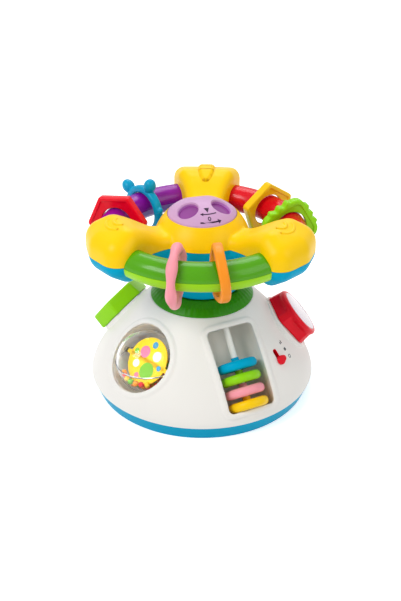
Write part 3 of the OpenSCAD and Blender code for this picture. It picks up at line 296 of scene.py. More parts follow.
def add_piece(name, bm, body, finishes, replaced=(), slot=None, place=Matrix.Identity(4), sharp=40):
    """Makes a piece from a mesh in millimetres, smooth-shaded up to the sharp angle, riding on its body."""
    bm.transform(Matrix.Scale(0.001, 4) @ place)
    for edge in bm.edges:
        edge.smooth = len(edge.link_faces) != 2 or edge.calc_face_angle(0) < radians(sharp)
    for face in bm.faces:
        face.smooth = True
    piece = put_in_scene(name, bm)
    for finish in finishes if isinstance(finishes, list) else [finishes]:
        piece.data.materials.append(finish)
    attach(piece, body)
    if replaced:
        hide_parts(*replaced)


def placed(bm, place):
    """The mesh, moved to its place."""
    bm.transform(place)
    return bm


def worked(blank):
    """The mesh of an object once its modifiers have worked on it. The object itself goes."""
    bpy.context.view_layer.update()
    done = blank.evaluated_get(bpy.context.evaluated_depsgraph_get())
    result = bmesh.new()
    result.from_mesh(done.to_mesh())
    bpy.data.objects.remove(blank)
    return result


def cut(bm, cutters):
    """Takes the cutter shapes out of a mesh."""
    blank = put_in_scene("blank", bm)
    tools = [put_in_scene("tool", tool_bm) for tool_bm in cutters]
    for tool in tools:
        trim = blank.modifiers.new("trim", "BOOLEAN")
        trim.operation, trim.solver, trim.object = "DIFFERENCE", "EXACT", tool
    result = worked(blank)
    for tool in tools:
        bpy.data.objects.remove(tool)
    return result


feature_u, hexagon_u, switch_u = 0.553, 0.52, 0.5
ball_turn, disc_turn, mirror_turn, hexagon_turn, switch_turn = 224.5, 296.5, 5, 154, 325
slot_l, slot_w, slot_corner, slot_low, slot_high = 17, 5.5, 2.7, -8, 12
ball_window_r = 34.0
window_l, window_w, window_corner = 80.0, 48.0, 5.0
bead_w, bead_h, bead_lean = 5.5, 1.3, 0.8
bell_steps, wall_steps, neck_lip_w, neck_lip_h = 110, 20, 6.5, 3
window_side, cut_reach = -25, 24


def bead_lift(beyond):
    """Height of the soft bead at a distance beyond a window's edge."""
    share = abs(beyond - bead_w / 2) / (bead_w / 2)
    return bead_h * sqrt(max(0.0, 1 - share ** 3))


def rect_distance(x, y):
    """Distance outside the disc window's round-cornered edge."""
    dx = abs(x) - (window_l / 2 - window_corner)
    dy = abs(y) - (window_w / 2 - window_corner)
    return sqrt(max(dx, 0) ** 2 + max(dy, 0) ** 2) + min(max(dx, dy), 0) - window_corner


def round_prism(length, width, corner, low, high):
    """Upright prism with a round-cornered outline."""
    bm = bmesh.new()
    half_l, half_w = length / 2, width / 2
    corners = [(half_l, half_w), (-half_l, half_w), (-half_l, -half_w), (half_l, -half_w)]
    rim = [bm.verts.new((x, y, low)) for x, y in soft_outline([(*spot, corner) for spot in corners], 10)]
    face = bm.faces.new(rim)
    risen = bmesh.ops.extrude_face_region(bm, geom=[face])["geom"]
    top = [v for v in risen if isinstance(v, bmesh.types.BMVert)]
    bmesh.ops.translate(bm, vec=(0, 0, high - low), verts=top)
    bmesh.ops.recalc_face_normals(bm, faces=bm.faces)
    return bm


def rod_between(r, low, high, segments=96):
    """Upright round bar from one height to another."""
    bm = bmesh.new()
    bmesh.ops.create_cone(bm, cap_ends=True, segments=segments, radius1=r, radius2=r, depth=high - low,
                          matrix=Matrix.Translation((0, 0, (low + high) / 2)))
    return bm


outer = [tuple(bell_point(i / bell_steps)) for i in range(bell_steps + 1)]
inner = [tuple(bell_point(i / wall_steps) - dome_wall * bell_normal(i / wall_steps))
         for i in range(wall_steps)]
neck_lip = [(neck_r - neck_lip_w, neck_z), (neck_r - neck_lip_w, neck_z - neck_lip_h)]
dome_bm = lathe(outer + neck_lip + inner[::-1], 420)
ball_place, disc_place = on_dome(ball_turn, feature_u), on_dome(disc_turn, feature_u)
to_ball, to_disc = ball_place.inverted(), disc_place.inverted()
levels = [z for r, z in outer]
for vert in dome_bm.verts:
    flat = vert.co.xy.length
    if flat < outer[min(bisect_left(levels, vert.co.z - 0.001), bell_steps)][0] - 1:
        continue
    at_ball, at_disc = to_ball @ vert.co, to_disc @ vert.co
    facing = Vector((vert.co.x / flat, vert.co.y / flat, bead_lean)).normalized()
    if at_ball.z > window_side:
        vert.co += facing * bead_lift(at_ball.xy.length - ball_window_r)
    if at_disc.z > window_side:
        vert.co += facing * bead_lift(rect_distance(at_disc.x, at_disc.y))
dome_bm = cut(dome_bm, [
    placed(rod_between(ball_window_r, -cut_reach, cut_reach), ball_place),
    placed(round_prism(window_l, window_w, window_corner, -cut_reach, cut_reach), disc_place),
    placed(round_prism(slot_l, slot_w, slot_corner, slot_low, slot_high), on_dome(switch_turn, switch_u))])
milk_white = plastic("milk_white_plastic", linear(238, 235, 230), rough=0.38, shade=0.97, peel_depth=0.04)
add_piece("dome_shell", dome_bm, "base", milk_white, ["base_dome"], "white_shell", sharp=50)

seat_bore, seat_low, seat_high, mirror_seat_r, hexagon_seat_r = 7, -6, 0.4, 30.1, 29.0
for label, place, r in (("mirror_knob_seat", on_dome(mirror_turn, feature_u), mirror_seat_r),
                        ("hexagon_knob_seat", on_dome(hexagon_turn, hexagon_u), hexagon_seat_r)):
    seat_bm = lathe(soft_outline([(seat_bore, seat_low, 0), (r, seat_low, 0), (r, seat_high, 0.4),
                                  (seat_bore, seat_high, 0)], 4), 96)
    add_piece(label, seat_bm, "base", milk_white, slot="white_shell", place=place)

# Collar. A cone of dark green see-through plastic rings the neck; its upper band is finely ribbed to
# spread the light of the lamps under it. It sits on the lip of the dome.
ribs, rib_low, rib_high, rib_in, rib_depth = 54, 101.6, 110.2, 38.8, 0.5
collar_outline = soft_outline([(50.2, 98.72, 0), (50.2, 100.0, 0.5), (45.6, 105.4, 8), (39.1, 110.4, 0.5),
                               (35.5, 110.4, 0.4), (35.5, 108.2, 0), (37.5, 108.2, 0), (46.2, 98.72, 0)], 5)
collar_bm = lathe(collar_outline, ribs * 8)
for vert in collar_bm.verts:
    flat = vert.co.xy.length
    if rib_low < vert.co.z < rib_high and flat > rib_in:
        dip = 0.5 + 0.5 * cos(ribs * atan2(vert.co.y, vert.co.x))
        fade = min(1, (vert.co.z - rib_low) / 1.0, (rib_high - vert.co.z) / 0.6)
        shrink = 1 - rib_depth * dip * fade / flat
        vert.co.xy *= shrink
bottle_green = plastic("bottle_green_clear", linear(54, 150, 2), rough=0.32, clear=0.12, sheen=0.12)
add_piece("collar", collar_bm, "base", bottle_green, ["light_collar"], "collar_green")

# Inside the base and the hub. The mouldings close these pieces in: a white frame, shaft and lamp post,
# green boards, cells, lamps, the speaker, and steel contacts, clips and screws. They keep their CAD shapes.
inner_white = plastic("inner_white_plastic", linear(228, 226, 220), rough=0.45)
board_green = plastic("circuit_board", linear(20, 100, 50), rough=0.4, cloud=120, shade=0.6)
cell_black = plastic("cell_sleeve", linear(40, 40, 44), rough=0.35, metal=0.3)
steel = plastic("bright_steel", linear(200, 200, 204), rough=0.28, metal=1.0, shade=0.85, cloud=160)
lamp_clear = plastic("lamp_resin", linear(225, 240, 220), rough=0.2, clear=0.5)
black_part = plastic("black_plastic", linear(50, 50, 54), rough=0.45)
dress(inner_white, "neck_frame", "wheel_shaft", "lamp_tower")
dress(board_green, "main_board", "lamp_board")
dress(cell_black, "batteries")
dress(steel, "battery_contacts", "base_screws", "wheel_screws", "lamp_cells", "shaft_retainer",
      "mirror_knob_clip", "hexagon_knob_clip")
dress(lamp_clear, "collar_lamps", "lamp_leds", "collar_diffuser")
dress(black_part, "speaker", "switch_body")

# Ball. A clear ball in two halves turns on two stubs in a cream cup behind the round window. In it a
# printed disc faces outwards, and loose beads in four colours lie at the bottom.
ball_r, ball_wall, ball_depth, stub_r, stub_half, stub_out = 30.5, 1.8, 15.0, 3.0, 3, 2.4
lip_w, lip_h, seam_gap, ball_steps = 0.5, 1.2, 0.03, 40
cream = plastic("cream_plastic", linear(252, 246, 234), rough=0.4)
dress(cream, "ball_cup")
out = bell_normal(feature_u)
heart = bell_point(feature_u) - ball_depth * out
ball_frame = (Matrix.Rotation(radians(ball_turn), 4, "Z") @ Matrix.Translation((heart.x, 0, heart.y))
              @ Matrix.Rotation(pi / 2, 4, "Z"))
clear_resin = plastic("clear_resin", linear(250, 251, 252), rough=0.05, spread=0.04, shade=0.99,
                      peel_depth=0.01, clear=1.0, ior=1.3, sheen=0.5, lamps_through=True)


def join(whole, part, place=Matrix.Identity(4)):
    """Adds one mesh to another."""
    part.transform(place)
    scrap = bpy.data.meshes.new("scrap")
    part.to_mesh(scrap)
    part.free()
    whole.from_mesh(scrap)
    bpy.data.meshes.remove(scrap)


def soft_band(inner, outer, half, inner_soft, outer_soft, arc):
    """Outline of a flat ring or disc with soft edges."""
    return soft_outline([(inner, -half, inner_soft), (outer, -half, outer_soft), (outer, half, outer_soft),
                         (inner, half, inner_soft)], arc)


lying = Matrix.Rotation(pi / 2, 4, "Y")
quarter = [pi / 2 * i / ball_steps for i in range(ball_steps + 1)]
for label, side in (("ball_upper", 1), ("ball_lower", -1)):
    outside = [(ball_r * cos(a), ball_r * sin(a)) for a in quarter]
    inside = [((ball_r - ball_wall) * cos(a), (ball_r - ball_wall) * sin(a)) for a in quarter]
    profile = [(ball_r, seam_gap), (ball_r + lip_w, 0.1), (ball_r + lip_w, lip_h - 0.3), (ball_r, lip_h)]
    profile += [p for p in outside if p[1] > lip_h + 0.1] + [p for p in inside if p[1] > 0.1][::-1]
    profile.append((ball_r - ball_wall, seam_gap))
    shell = lathe([(max(r, 0), side * z) for r, z in profile], 120)
    if side > 0:
        for end in (1, -1):
            stub_place = Matrix.Translation((end * (ball_r + stub_out), 0, 0)) @ lying
            join(shell, rod_between(stub_r, -stub_half, stub_half, 40), stub_place)
    add_piece(label, shell, "ball", clear_resin, [label + "_shell"], "ball_clear", ball_frame)

picture_r, picture_t, tab_span, tab_w, print_t = 23.5, 1.6, 56.4, 4, 0.3
print_finishes = [plastic(f"printed_{label}", linear(*rgb), rough=0.4) for label, rgb in (
    ("yellow", (252, 205, 30)), ("pink", (240, 120, 150)), ("green", (120, 185, 50)),
    ("pale", (245, 240, 225)), ("blue", (70, 150, 190)))]
print_spots = ((1, -7, 7, 6.0), (2, 5, -9, 8.5), (3, 9, 8, 5.0), (3, -11, -7, 4.0), (4, 1, 17, 3.4),
               (4, 17, -1, 2.6), (1, -4, -17, 2.8), (2, -17, 4, 3.0))
picture_place = ball_frame @ Matrix.Rotation(atan2(out.x, out.y), 4, "X")
picture_bm = lathe(soft_band(0, picture_r, picture_t / 2, 0, 0.5, 4), 96)
bmesh.ops.create_cube(picture_bm, size=1, matrix=Matrix.Diagonal((tab_span, tab_w, picture_t, 1)))
for index, x, y, r in print_spots:
    made = bmesh.ops.create_cone(picture_bm, cap_ends=True, segments=40, radius1=r, radius2=r, depth=print_t,
                                 matrix=Matrix.Translation((x, y, picture_t / 2 + 0.05)))
    for face in {f for v in made["verts"] for f in v.link_faces}:
        face.material_index = index
add_piece("picture", picture_bm, "ball", print_finishes, ["picture_disc"], "picture_yellow", picture_place)

bead_r, bead_rings, bead_gap = 2.7, 6, 0.15
bead_colours = [plastic(f"bead_{label}", linear(*rgb), rough=0.22) for label, rgb in (
    ("red", (224, 50, 56)), ("yellow", (252, 196, 30)), ("green", (116, 194, 50)),
    ("orange", (250, 150, 30)))]
to_picture = picture_place.inverted() @ ball_frame
bead_reach = ball_r - ball_wall - bead_r - 0.1
bead_step = 2 * asin((bead_r + bead_gap) / bead_reach)
bead_bm = bmesh.new()
bead_count = 0
for ring in range(bead_rings):
    around = max(1, int(2 * pi * sin(ring * bead_step) / bead_step - 0.3))
    for i in range(around):
        spot = (Matrix.Rotation(2 * pi * i / around, 4, "Z") @ Matrix.Rotation(pi - ring * bead_step, 4, "Y")
                @ Matrix.Translation((0, 0, bead_reach)))
        beside = to_picture @ spot.translation
        if abs(beside.z) < bead_r + 1.2 and beside.xy.length < picture_r + bead_r:
            continue
        made = bmesh.ops.create_icosphere(bead_bm, subdivisions=3, radius=bead_r, matrix=spot)
        for face in {f for v in made["verts"] for f in v.link_faces}:
            face.material_index = bead_count % len(bead_colours)
        bead_count += 1
add_piece("beads", bead_bm, "ball", bead_colours, ["ball_beads"], "bead_mixed", ball_frame)

# Discs. Four thick round discs slide on a pale rod in a grey round-bottomed well behind the long
# window. Each has a short hub, so that the discs stay a little apart.
well_grey = plastic("well_grey_plastic", linear(242, 237, 226), rough=0.42)
rod_pale = plastic("rod_pale_plastic", linear(246, 244, 238), rough=0.3)
dress(well_grey, "disc_well")
dress(rod_pale, "disc_rod")
disc_r, disc_half, disc_edge, disc_face_r, disc_dish_r = 19.5, 4.5, 4.2, 13.6, 7.6
disc_bore_r, disc_hub_r, disc_hub_l, rod_depth = 3.2, 3.9, 12.4, 12.0
disc_gap, window_gap = 0.3, 0.4
disc_end = window_l / 2 - window_gap - disc_half
hub_end = disc_half - disc_hub_l
disc_profile = soft_outline([
    (disc_bore_r, hub_end, 0.3), (disc_hub_r, hub_end, 0.3), (disc_hub_r, 0.1 - disc_half, 0.3),
    (disc_face_r, -disc_half, 1.2), (disc_r, -disc_half, disc_edge), (disc_r, disc_half, disc_edge),
    (disc_face_r, disc_half, 1.2), (disc_dish_r, disc_half - 0.3, 0.5),
    (disc_bore_r, disc_half - 0.2, 0.3)], 7)
lime_finish = plastic("lime_plastic", linear(146, 218, 16), rough=0.32)
pink_finish = plastic("pink_plastic", linear(252, 160, 172), rough=0.34)
disc_yellow = plastic("sun_yellow_plastic", linear(255, 208, 10), rough=0.3)
for i, (label, finish, slot) in enumerate((
        ("yellow_disc", disc_yellow, "disc_yellow"), ("pink_disc", pink_finish, "pink"),
        ("green_disc", lime_finish, "lime"), ("blue_disc", sky_blue, "blue_shell"))):
    along = disc_end - i * (disc_hub_l + disc_gap)
    spot = disc_place @ Matrix.Translation((along, 0, -rod_depth)) @ lying
    add_piece(label + "_turned", lathe(disc_profile, 96), label, finish, [label], slot, spot)

# Mirror knob. A red tapered knob turns on a stem in the dome; scallops round its side fit the fingers,
# and a small unbreakable mirror fills its face.
knob_r, knob_low, knob_h, knob_edge, knob_taper = 28.6, 0.8, 18.0, 0.8, 2.0
shoulder_w, shoulder_h, mirror_r, mirror_sink = 3.9, 3.2, 22.2, 1.8
scallops, scallop_r, scallop_depth, scallop_fade = 5, 126.0, 4.4, 4.5
scallop_start, scallop_top = radians(51.6), knob_h - 3.6
scallop_far = knob_r - scallop_depth + scallop_r
side_low, side_high, side_steps = knob_low + 1.4, knob_h - 3.4, 28
stem_r, stem_low, stem_high = 4.8, -6.6, 1.4
foot = [(knob_r - knob_edge + knob_edge * sin(a * pi / 8), knob_low + knob_edge - knob_edge * cos(a * pi / 8))
        for a in range(5)]
side = [(knob_r - 0.3 - knob_taper * k / side_steps, side_low + (side_high - side_low) * k / side_steps)
        for k in range(side_steps + 1)]
shoulder = [(mirror_r + 0.2 + shoulder_w * cos(a * pi / 20), side_high + shoulder_h * sin(a * pi / 20))
            for a in range(1, 11)]
recess = [(mirror_r + 0.1, knob_h - 0.6), (mirror_r + 0.1, knob_h - mirror_sink), (0, knob_h - mirror_sink)]
knob_bm = lathe([(0, knob_low), (knob_r - knob_edge, knob_low)] + foot + side + shoulder + recess, 360)
for vert in knob_bm.verts:
    flat = vert.co.xy.length
    near = (atan2(vert.co.y, vert.co.x) - scallop_start + pi / scallops) % (2 * pi / scallops) - pi / scallops
    under = scallop_r ** 2 - (scallop_far * sin(near)) ** 2
    if flat > mirror_r + 2.8 and vert.co.z < scallop_top and under > 0:
        dent = min(0, (scallop_far * cos(near) - sqrt(under)) / knob_r - 1)
        fade = min(1, (scallop_top - vert.co.z) / scallop_fade)
        shrink = 1 + dent * fade * fade * (3 - 2 * fade)
        vert.co.xy *= shrink
join(knob_bm, rod_between(stem_r, stem_low, stem_high, 48))
knob_red = plastic("knob_red_plastic", linear(234, 8, 36), rough=0.3)
mirror_place = on_dome(mirror_turn, feature_u)
add_piece("mirror_knob_grip", knob_bm, "mirror_knob", knob_red, ["mirror_knob"], "knob_red", mirror_place)
mirror_back = knob_h - mirror_sink + 0.1
mirror_bm = lathe(soft_outline([(0, mirror_back, 0), (mirror_r, mirror_back, 0.2),
                                (mirror_r, knob_h - 0.2, 0.3), (0, knob_h - 0.1, 0)], 4), 96)
# The mirror is only partly metal and is painted a pinkish grey: a painted reflection.
mirror_painted_reflection = plastic("mirror_painted_reflection", linear(188, 177, 184), rough=0.12, spread=0.06, metal=0.6, shade=0.96,
                      cloud=60, peel=260, peel_depth=0.02)
add_piece("mirror_plate", mirror_bm, "mirror_knob", mirror_painted_reflection, ["knob_mirror"], "mirror", mirror_place)

# Hexagon knob. A lime six-sided moulding on the far side, tapered towards a dished face. It turns on a
# stem with a clip, like the mirror knob.
hex_low_r, hex_high_r, hex_h, hex_mid, hex_turn = 32.2, 30.6, 15.8, 8.7, 23
hex_rim, hex_slope, hex_dish, hex_edge = 6.0, 1.6, 2.0, 2.0
hex_bm = bmesh.new()
bmesh.ops.create_cone(hex_bm, cap_ends=True, segments=6, radius1=hex_low_r, radius2=hex_high_r, depth=hex_h,
                      matrix=Matrix.Translation((0, 0, hex_mid)) @ Matrix.Rotation(radians(hex_turn), 4, "Z"))
top = max(hex_bm.faces, key=lambda f: f.calc_center_median().z)
bmesh.ops.inset_region(hex_bm, faces=[top], thickness=hex_rim)
bmesh.ops.inset_region(hex_bm, faces=[top], thickness=hex_slope, depth=-hex_dish)
bmesh.ops.bevel(hex_bm, geom=hex_bm.edges[:], offset=hex_edge, affect="EDGES", segments=5, profile=0.5,
                material=-1)
join(hex_bm, rod_between(stem_r, stem_low, stem_high, 48))
add_piece("hexagon_knob_grip", hex_bm, "hexagon_knob", lime_finish, ["hexagon_knob"], "lime",
          on_dome(hexagon_turn, hexagon_u))

# Switch. A red slider with a pear-shaped thumb piece runs in a slot, and its plate closes the slot from
# below. Plain printed bars beside it mark the settings.
plate_l, plate_w, plate_corner, plate_low, plate_high, slider_at = 29.6, 8.3, 1.0, -5.9, -4.7, 4
neck_l, neck_w, neck_corner, neck_top = 4.8, 3.8, 1.8, 1.0
thumb_r, nose_r, nose_at, thumb_low, thumb_high, thumb_edge = 4.5, 2.8, 4.5, 0.5, 3.1, 0.9
lining_gap, lining_low, lining_high, bore_l, bore_w, bore_corner = 0.05, -3.4, -0.2, 16, 4.4, 2.15
mark_turn, mark_pitch, mark_low, mark_high = 9.9, 0.0082, -0.9, 0.12
bar_w, bar_corner, bar_off, dot_in, dot_out = 1.2, 0.5, 1.1, 1.2, 2.0
switch_place = on_dome(switch_turn, switch_u)


def hull(bm):
    """Draws a convex skin round all points of a mesh and drops the points inside it."""
    done = bmesh.ops.convex_hull(bm, input=bm.verts)
    loose = [g for g in done["geom_interior"] if isinstance(g, bmesh.types.BMVert)]
    bmesh.ops.delete(bm, geom=loose, context="VERTS")


thumb_bm = bmesh.new()
for y, r in ((0, thumb_r), (nose_at, nose_r)):
    for z in (thumb_low, thumb_high):
        bmesh.ops.create_circle(thumb_bm, segments=48, radius=r, matrix=Matrix.Translation((0, y, z)))
hull(thumb_bm)
bmesh.ops.dissolve_limit(thumb_bm, angle_limit=0.02, verts=thumb_bm.verts, edges=thumb_bm.edges)
thumb_rim = [e for e in thumb_bm.edges if e.calc_face_angle(0) > 1 and e.verts[0].co.z > 2]
bmesh.ops.bevel(thumb_bm, geom=thumb_rim, offset=thumb_edge, affect="EDGES", segments=4, profile=0.5,
                material=-1)
slider_bm = round_prism(plate_l, plate_w, plate_corner, plate_low, plate_high)
join(slider_bm, round_prism(neck_l, neck_w, neck_corner, plate_low, neck_top))
join(slider_bm, thumb_bm)
add_piece("switch_thumb", slider_bm, "switch", knob_red, ["switch_slider"], "knob_red",
          switch_place @ Matrix.Translation((slider_at, 0, 0)))
lining_bm = cut(round_prism(slot_l - 2 * lining_gap, slot_w - 2 * lining_gap, slot_corner - lining_gap,
                            lining_low, lining_high),
                [round_prism(bore_l, bore_w, bore_corner, lining_low - 1.6, lining_high + 2.2)])
add_piece("switch_slot_lining", lining_bm, "base", knob_red, slot="knob_red", place=switch_place)
mark_ink = plastic("printed_mark", linear(78, 84, 88), rough=0.5)
mark_grey = plastic("printed_mark_grey", linear(128, 132, 134), rough=0.5)
long_bar = placed(round_prism(3.4, bar_w, bar_corner, mark_low, mark_high),
                  Matrix.Translation((0, bar_off, 0)))
short_bar = placed(round_prism(2.6, bar_w, bar_corner, mark_low, mark_high),
                   Matrix.Translation((0.4, -bar_off, 0)))
block = round_prism(3.0, 3.2, 0.9, mark_low, mark_high)
dot = lathe([(dot_in, mark_low), (dot_out, mark_low), (dot_out, mark_high), (dot_in, mark_high)], 40)
for label, downhill, mark_bm, ink in (
        ("long_bar", -8.5, long_bar, mark_ink), ("short_bar", -8.5, short_bar, mark_ink),
        ("block", -0.5, block, mark_ink), ("ring", 8.1, dot, mark_grey)):
    add_piece(f"switch_mark_{label}", mark_bm, "base", ink,
              place=on_dome(switch_turn + mark_turn, switch_u - mark_pitch * downhill))

# Wheel. Two mouldings parted on one plane: blue below and yellow above. Three arms leave the round hub
# and swell into lobes that hold the tube ends. They are shaped as one soft mass and then parted.
tube_z, part_z = 163.3, 164.4
hub_r, lobe_r, lobe_w, arm_w, arm_edge = 45.6, 110.3, 34.0, 18.0, 9.0
dial_rise, dial_r, dial_gap, dial_sink = 20.7, 32.8, 0.4, 4
back_lobe, left_lobe, right_lobe = 87, 207, 327
# By the turn of each lobe: radius of its side edges, radius of its outer edge, bulge of its outer end.
lobe_forms = {back_lobe: (9.5, 11.0, 1.0), left_lobe: (15.5, 17.0, 4.0), right_lobe: (15.5, 17.0, 4.0)}
# Heights of a limb from the parting plane: at the hub, at its crest, at its end; then the crest's share.
limb_rises = (11.0, 29.9, 24.9, 0.95)
limb_drops = (13.0, 25.3, 17.0, 0.8)
limb_shares = (0, 0.15, 0.3, 0.43, 0.56, 0.7, 0.83)
limb_low, limb_far, limb_flare, limb_root = hub_r - 4, lobe_r - 17, 2.1, -3
skin_grain, skin_passes, parting_gap, crown_foot = 1.1, 10, 0.2, 4
dial_z = part_z + dial_rise
crown_z = (dial_r ** 2 - hub_r ** 2 + dial_z ** 2 - part_z ** 2) / (2 * (dial_z - part_z))
crown_r = sqrt(hub_r ** 2 + (part_z - crown_z) ** 2)


def limb_height(f, low, high, end, crest):
    """Height of a limb at a share f of the way out: it swells to its crest and falls to its end."""
    if f <= crest:
        return low + (high - low) * (f / crest) ** 2 * (3 - 2 * f / crest)
    return high + (end - high) * ((f - crest) / (1 - crest)) ** 2


def upright(x, y, r, h, up):
    """Round masses that fill a limb's edge from the parting plane to its height. Below the plane the edge
    falls away at once."""
    if up > 0:
        yield (x, y, max(h - r, 0)), (r, r, min(r, h))
        yield (x, y, limb_root), (r, r, r)
    else:
        yield (x, y, 0), (r, r, h)


def limb_edges(turn, f, heights, up):
    """Edges of an arm or lobe at a share f of the way out."""
    x = limb_low + (limb_far - limb_low) * f
    w = arm_w + (lobe_w - arm_w) * f ** limb_flare
    r = arm_edge + (lobe_forms[turn][0] - arm_edge) * f
    for side in (-1, 1):
        yield from upright(x, side * (w - r), r, limb_height(f, *heights), up)


def lobe_nose(turn, heights, up):
    """Edge along the bulging outer end of a lobe."""
    _, r, bulge = lobe_forms[turn]
    for y, out in ((r - lobe_w, 0), (0, bulge), (lobe_w - r, 0)):
        yield from upright(lobe_r - r + out, y, r, heights[2], up)


def hull_of(masses):
    """Convex skin round a set of round masses, each given by its place and half sizes."""
    part = bmesh.new()
    for spot, sizes in masses:
        bmesh.ops.create_uvsphere(part, u_segments=32, v_segments=16, radius=1,
                                  matrix=Matrix.Translation(spot) @ Matrix.Diagonal((*sizes, 1)))
    hull(part)
    return part


def soften(bm, grain_mm, passes):
    """Melts overlapping masses into one skin and eases its hollows."""
    lump = put_in_scene("lump", bm)
    skin = lump.modifiers.new("skin", "REMESH")
    skin.mode = "VOXEL"
    skin.voxel_size = grain_mm
    ease = lump.modifiers.new("ease", "SMOOTH")
    ease.factor = 0.5
    ease.iterations = passes
    return worked(lump)


def wheel_mass(hub_outline, heights, up):
    """Hub and three limbs as overlapping masses, on one side of the parting plane."""
    whole = lathe(hub_outline, 96)
    for turn in lobe_forms:
        place = Matrix.Rotation(radians(turn), 4, "Z") @ Matrix.Translation((0, 0, part_z))
        stations = [list(limb_edges(turn, f, heights, up)) for f in limb_shares]
        stations.append(list(lobe_nose(turn, heights, up)))
        for near, far in zip(stations, stations[1:]):
            join(whole, hull_of(near + far), place)
    return whole


def part_off(bm, height, keep_above):
    """Parts a mass on a level plane and closes the cut."""
    bmesh.ops.bisect_plane(bm, geom=bm.verts[:] + bm.edges[:] + bm.faces[:], plane_co=(0, 0, height),
                           plane_no=(0, 0, 1), clear_inner=keep_above, clear_outer=not keep_above)
    bmesh.ops.holes_fill(bm, edges=[e for e in bm.edges if e.is_boundary], sides=0)
    bmesh.ops.recalc_face_normals(bm, faces=bm.faces)


def crown_arc(r, start, end, count):
    """Outline points on a circle about the middle of the crown."""
    turns = [start + (end - start) * i / count for i in range(count + 1)]
    return [(r * cos(a), crown_z + r * sin(a)) for a in turns]


bowl_outline = [(0, 110.8), (36.5, 110.8), (38.5, 112.6), (40.2, 120), (42.6, 129.6), (44.6, 137),
                (46, 145.6), (45.9, 156), (hub_r, 168), (0, 168)]
bottom_bm = soften(wheel_mass(bowl_outline, limb_drops, -1), skin_grain, skin_passes)
part_off(bottom_bm, part_z - parting_gap, False)
add_piece("wheel_lower", bottom_bm, "wheel", sky_blue, ["wheel_bottom_shell"], "blue_shell")

crown_start = asin((part_z - crown_foot - crown_z) / crown_r)
crown_outline = [(0, part_z - crown_foot)] + crown_arc(crown_r, crown_start, pi / 2, 24)
top_bm = soften(wheel_mass(crown_outline, limb_rises, 1), skin_grain, skin_passes)
part_off(top_bm, part_z + parting_gap, True)
top_bm = cut(top_bm, [rod_between(dial_r + dial_gap, dial_z - dial_sink, dial_z + 40)])
skin = BVHTree.FromBMesh(top_bm)
ridge_at, ridge_bead, ridge_rise, ridge_steps, tab_bead = 82, 1.9, 0.9, 8, 4.5


def raised(turn, x, y, r, rise):
    """Round mass sunk into the skin of a lobe so that it stands up by the rise."""
    above = Matrix.Rotation(radians(turn), 4, "Z") @ Vector((x, y, 400))
    spot, facing = skin.ray_cast(above, Vector((0, 0, -1)))[:2]
    return spot + facing * (rise - r), (r, r, r)


for turn in (left_lobe, right_lobe):
    for ridge_r, sweep in ((7, 70), (14, 50)):
        turns = [radians(sweep * k / ridge_steps) for k in range(-ridge_steps, ridge_steps + 1)]
        beads = [raised(turn, ridge_at + ridge_r * cos(a), ridge_r * sin(a), ridge_bead, ridge_rise)
                 for a in turns]
        for pair in zip(beads, beads[1:]):
            join(top_bm, hull_of(pair))
tab_rows = [[raised(back_lobe, x, y, tab_bead, rise) for y in (-half, half)] for x, half, rise in (
    (94, 4.4, 3.6), (88, 4.6, 3.2), (82, 4.2, 2.6), (76, 2.9, 2.2), (71, 0.5, 2.0))]
for near, far in zip(tab_rows, tab_rows[1:]):
    join(top_bm, hull_of(near + far))
wheel_yellow = plastic("wheel_yellow_plastic", linear(255, 207, 0), rough=0.36, shade=0.95)
add_piece("wheel_upper", top_bm, "wheel", wheel_yellow, ["wheel_top_shell"], "yellow_shell")

# Tubes. Three grips bent to one circle, each of two half shells: see-through colour above, and a paler
# or matching half below with a fine lip where they meet.
tube_ring_r, tube_r, tube_wall, tube_end = 87.5, 13.5, 1.8, 8.0
half_gap, upper_lip, lower_lip, lip_from = 0.04, -0.1, 0.18, 0.985
tube_bore = tube_r - tube_wall
tube_finishes = {
    "green": (plastic("green_clear", linear(86, 172, 0), rough=0.22, clear=0.1, coat=0.12),
              plastic("lime_tube_plastic", linear(158, 222, 8), rough=0.3), "tube_green", "tube_lime",
              left_lobe),
    "purple": (plastic("purple_clear", linear(150, 18, 170), rough=0.22, clear=0.1, coat=0.12),
               plastic("lavender_plastic", linear(152, 112, 184), rough=0.28),
               "tube_purple", "tube_lavender", back_lobe),
    "red": (plastic("red_clear", linear(230, 4, 30), rough=0.22, clear=0.1, coat=0.12),
            plastic("red_tube_plastic", linear(208, 6, 24), rough=0.3), "tube_red", "tube_red_low",
            right_lobe),
}
for colour, (upper_finish, lower_finish, upper_slot, lower_slot, lobe) in tube_finishes.items():
    for label, side, lip, finish, slot in (("top", 1, upper_lip, upper_finish, upper_slot),
                                           ("bottom", -1, lower_lip, lower_finish, lower_slot)):
        arc = [pi * i / 36 for i in range(37)]
        section = [((tube_r + (lip if abs(cos(a)) > lip_from else 0)) * cos(a),
                    side * max(tube_r * sin(a), half_gap)) for a in arc]
        section += [(tube_bore * cos(a), side * max(tube_bore * sin(a), half_gap)) for a in reversed(arc)]
        half = lathe([(tube_ring_r + x, tube_z + z) for x, z in section], 104, radians(120 - 2 * tube_end))
        add_piece(f"{colour}_tube_{label}_half", half, "wheel", finish, [f"{colour}_tube_{label}"], slot,
                  Matrix.Rotation(radians(lobe + tube_end), 4, "Z"))

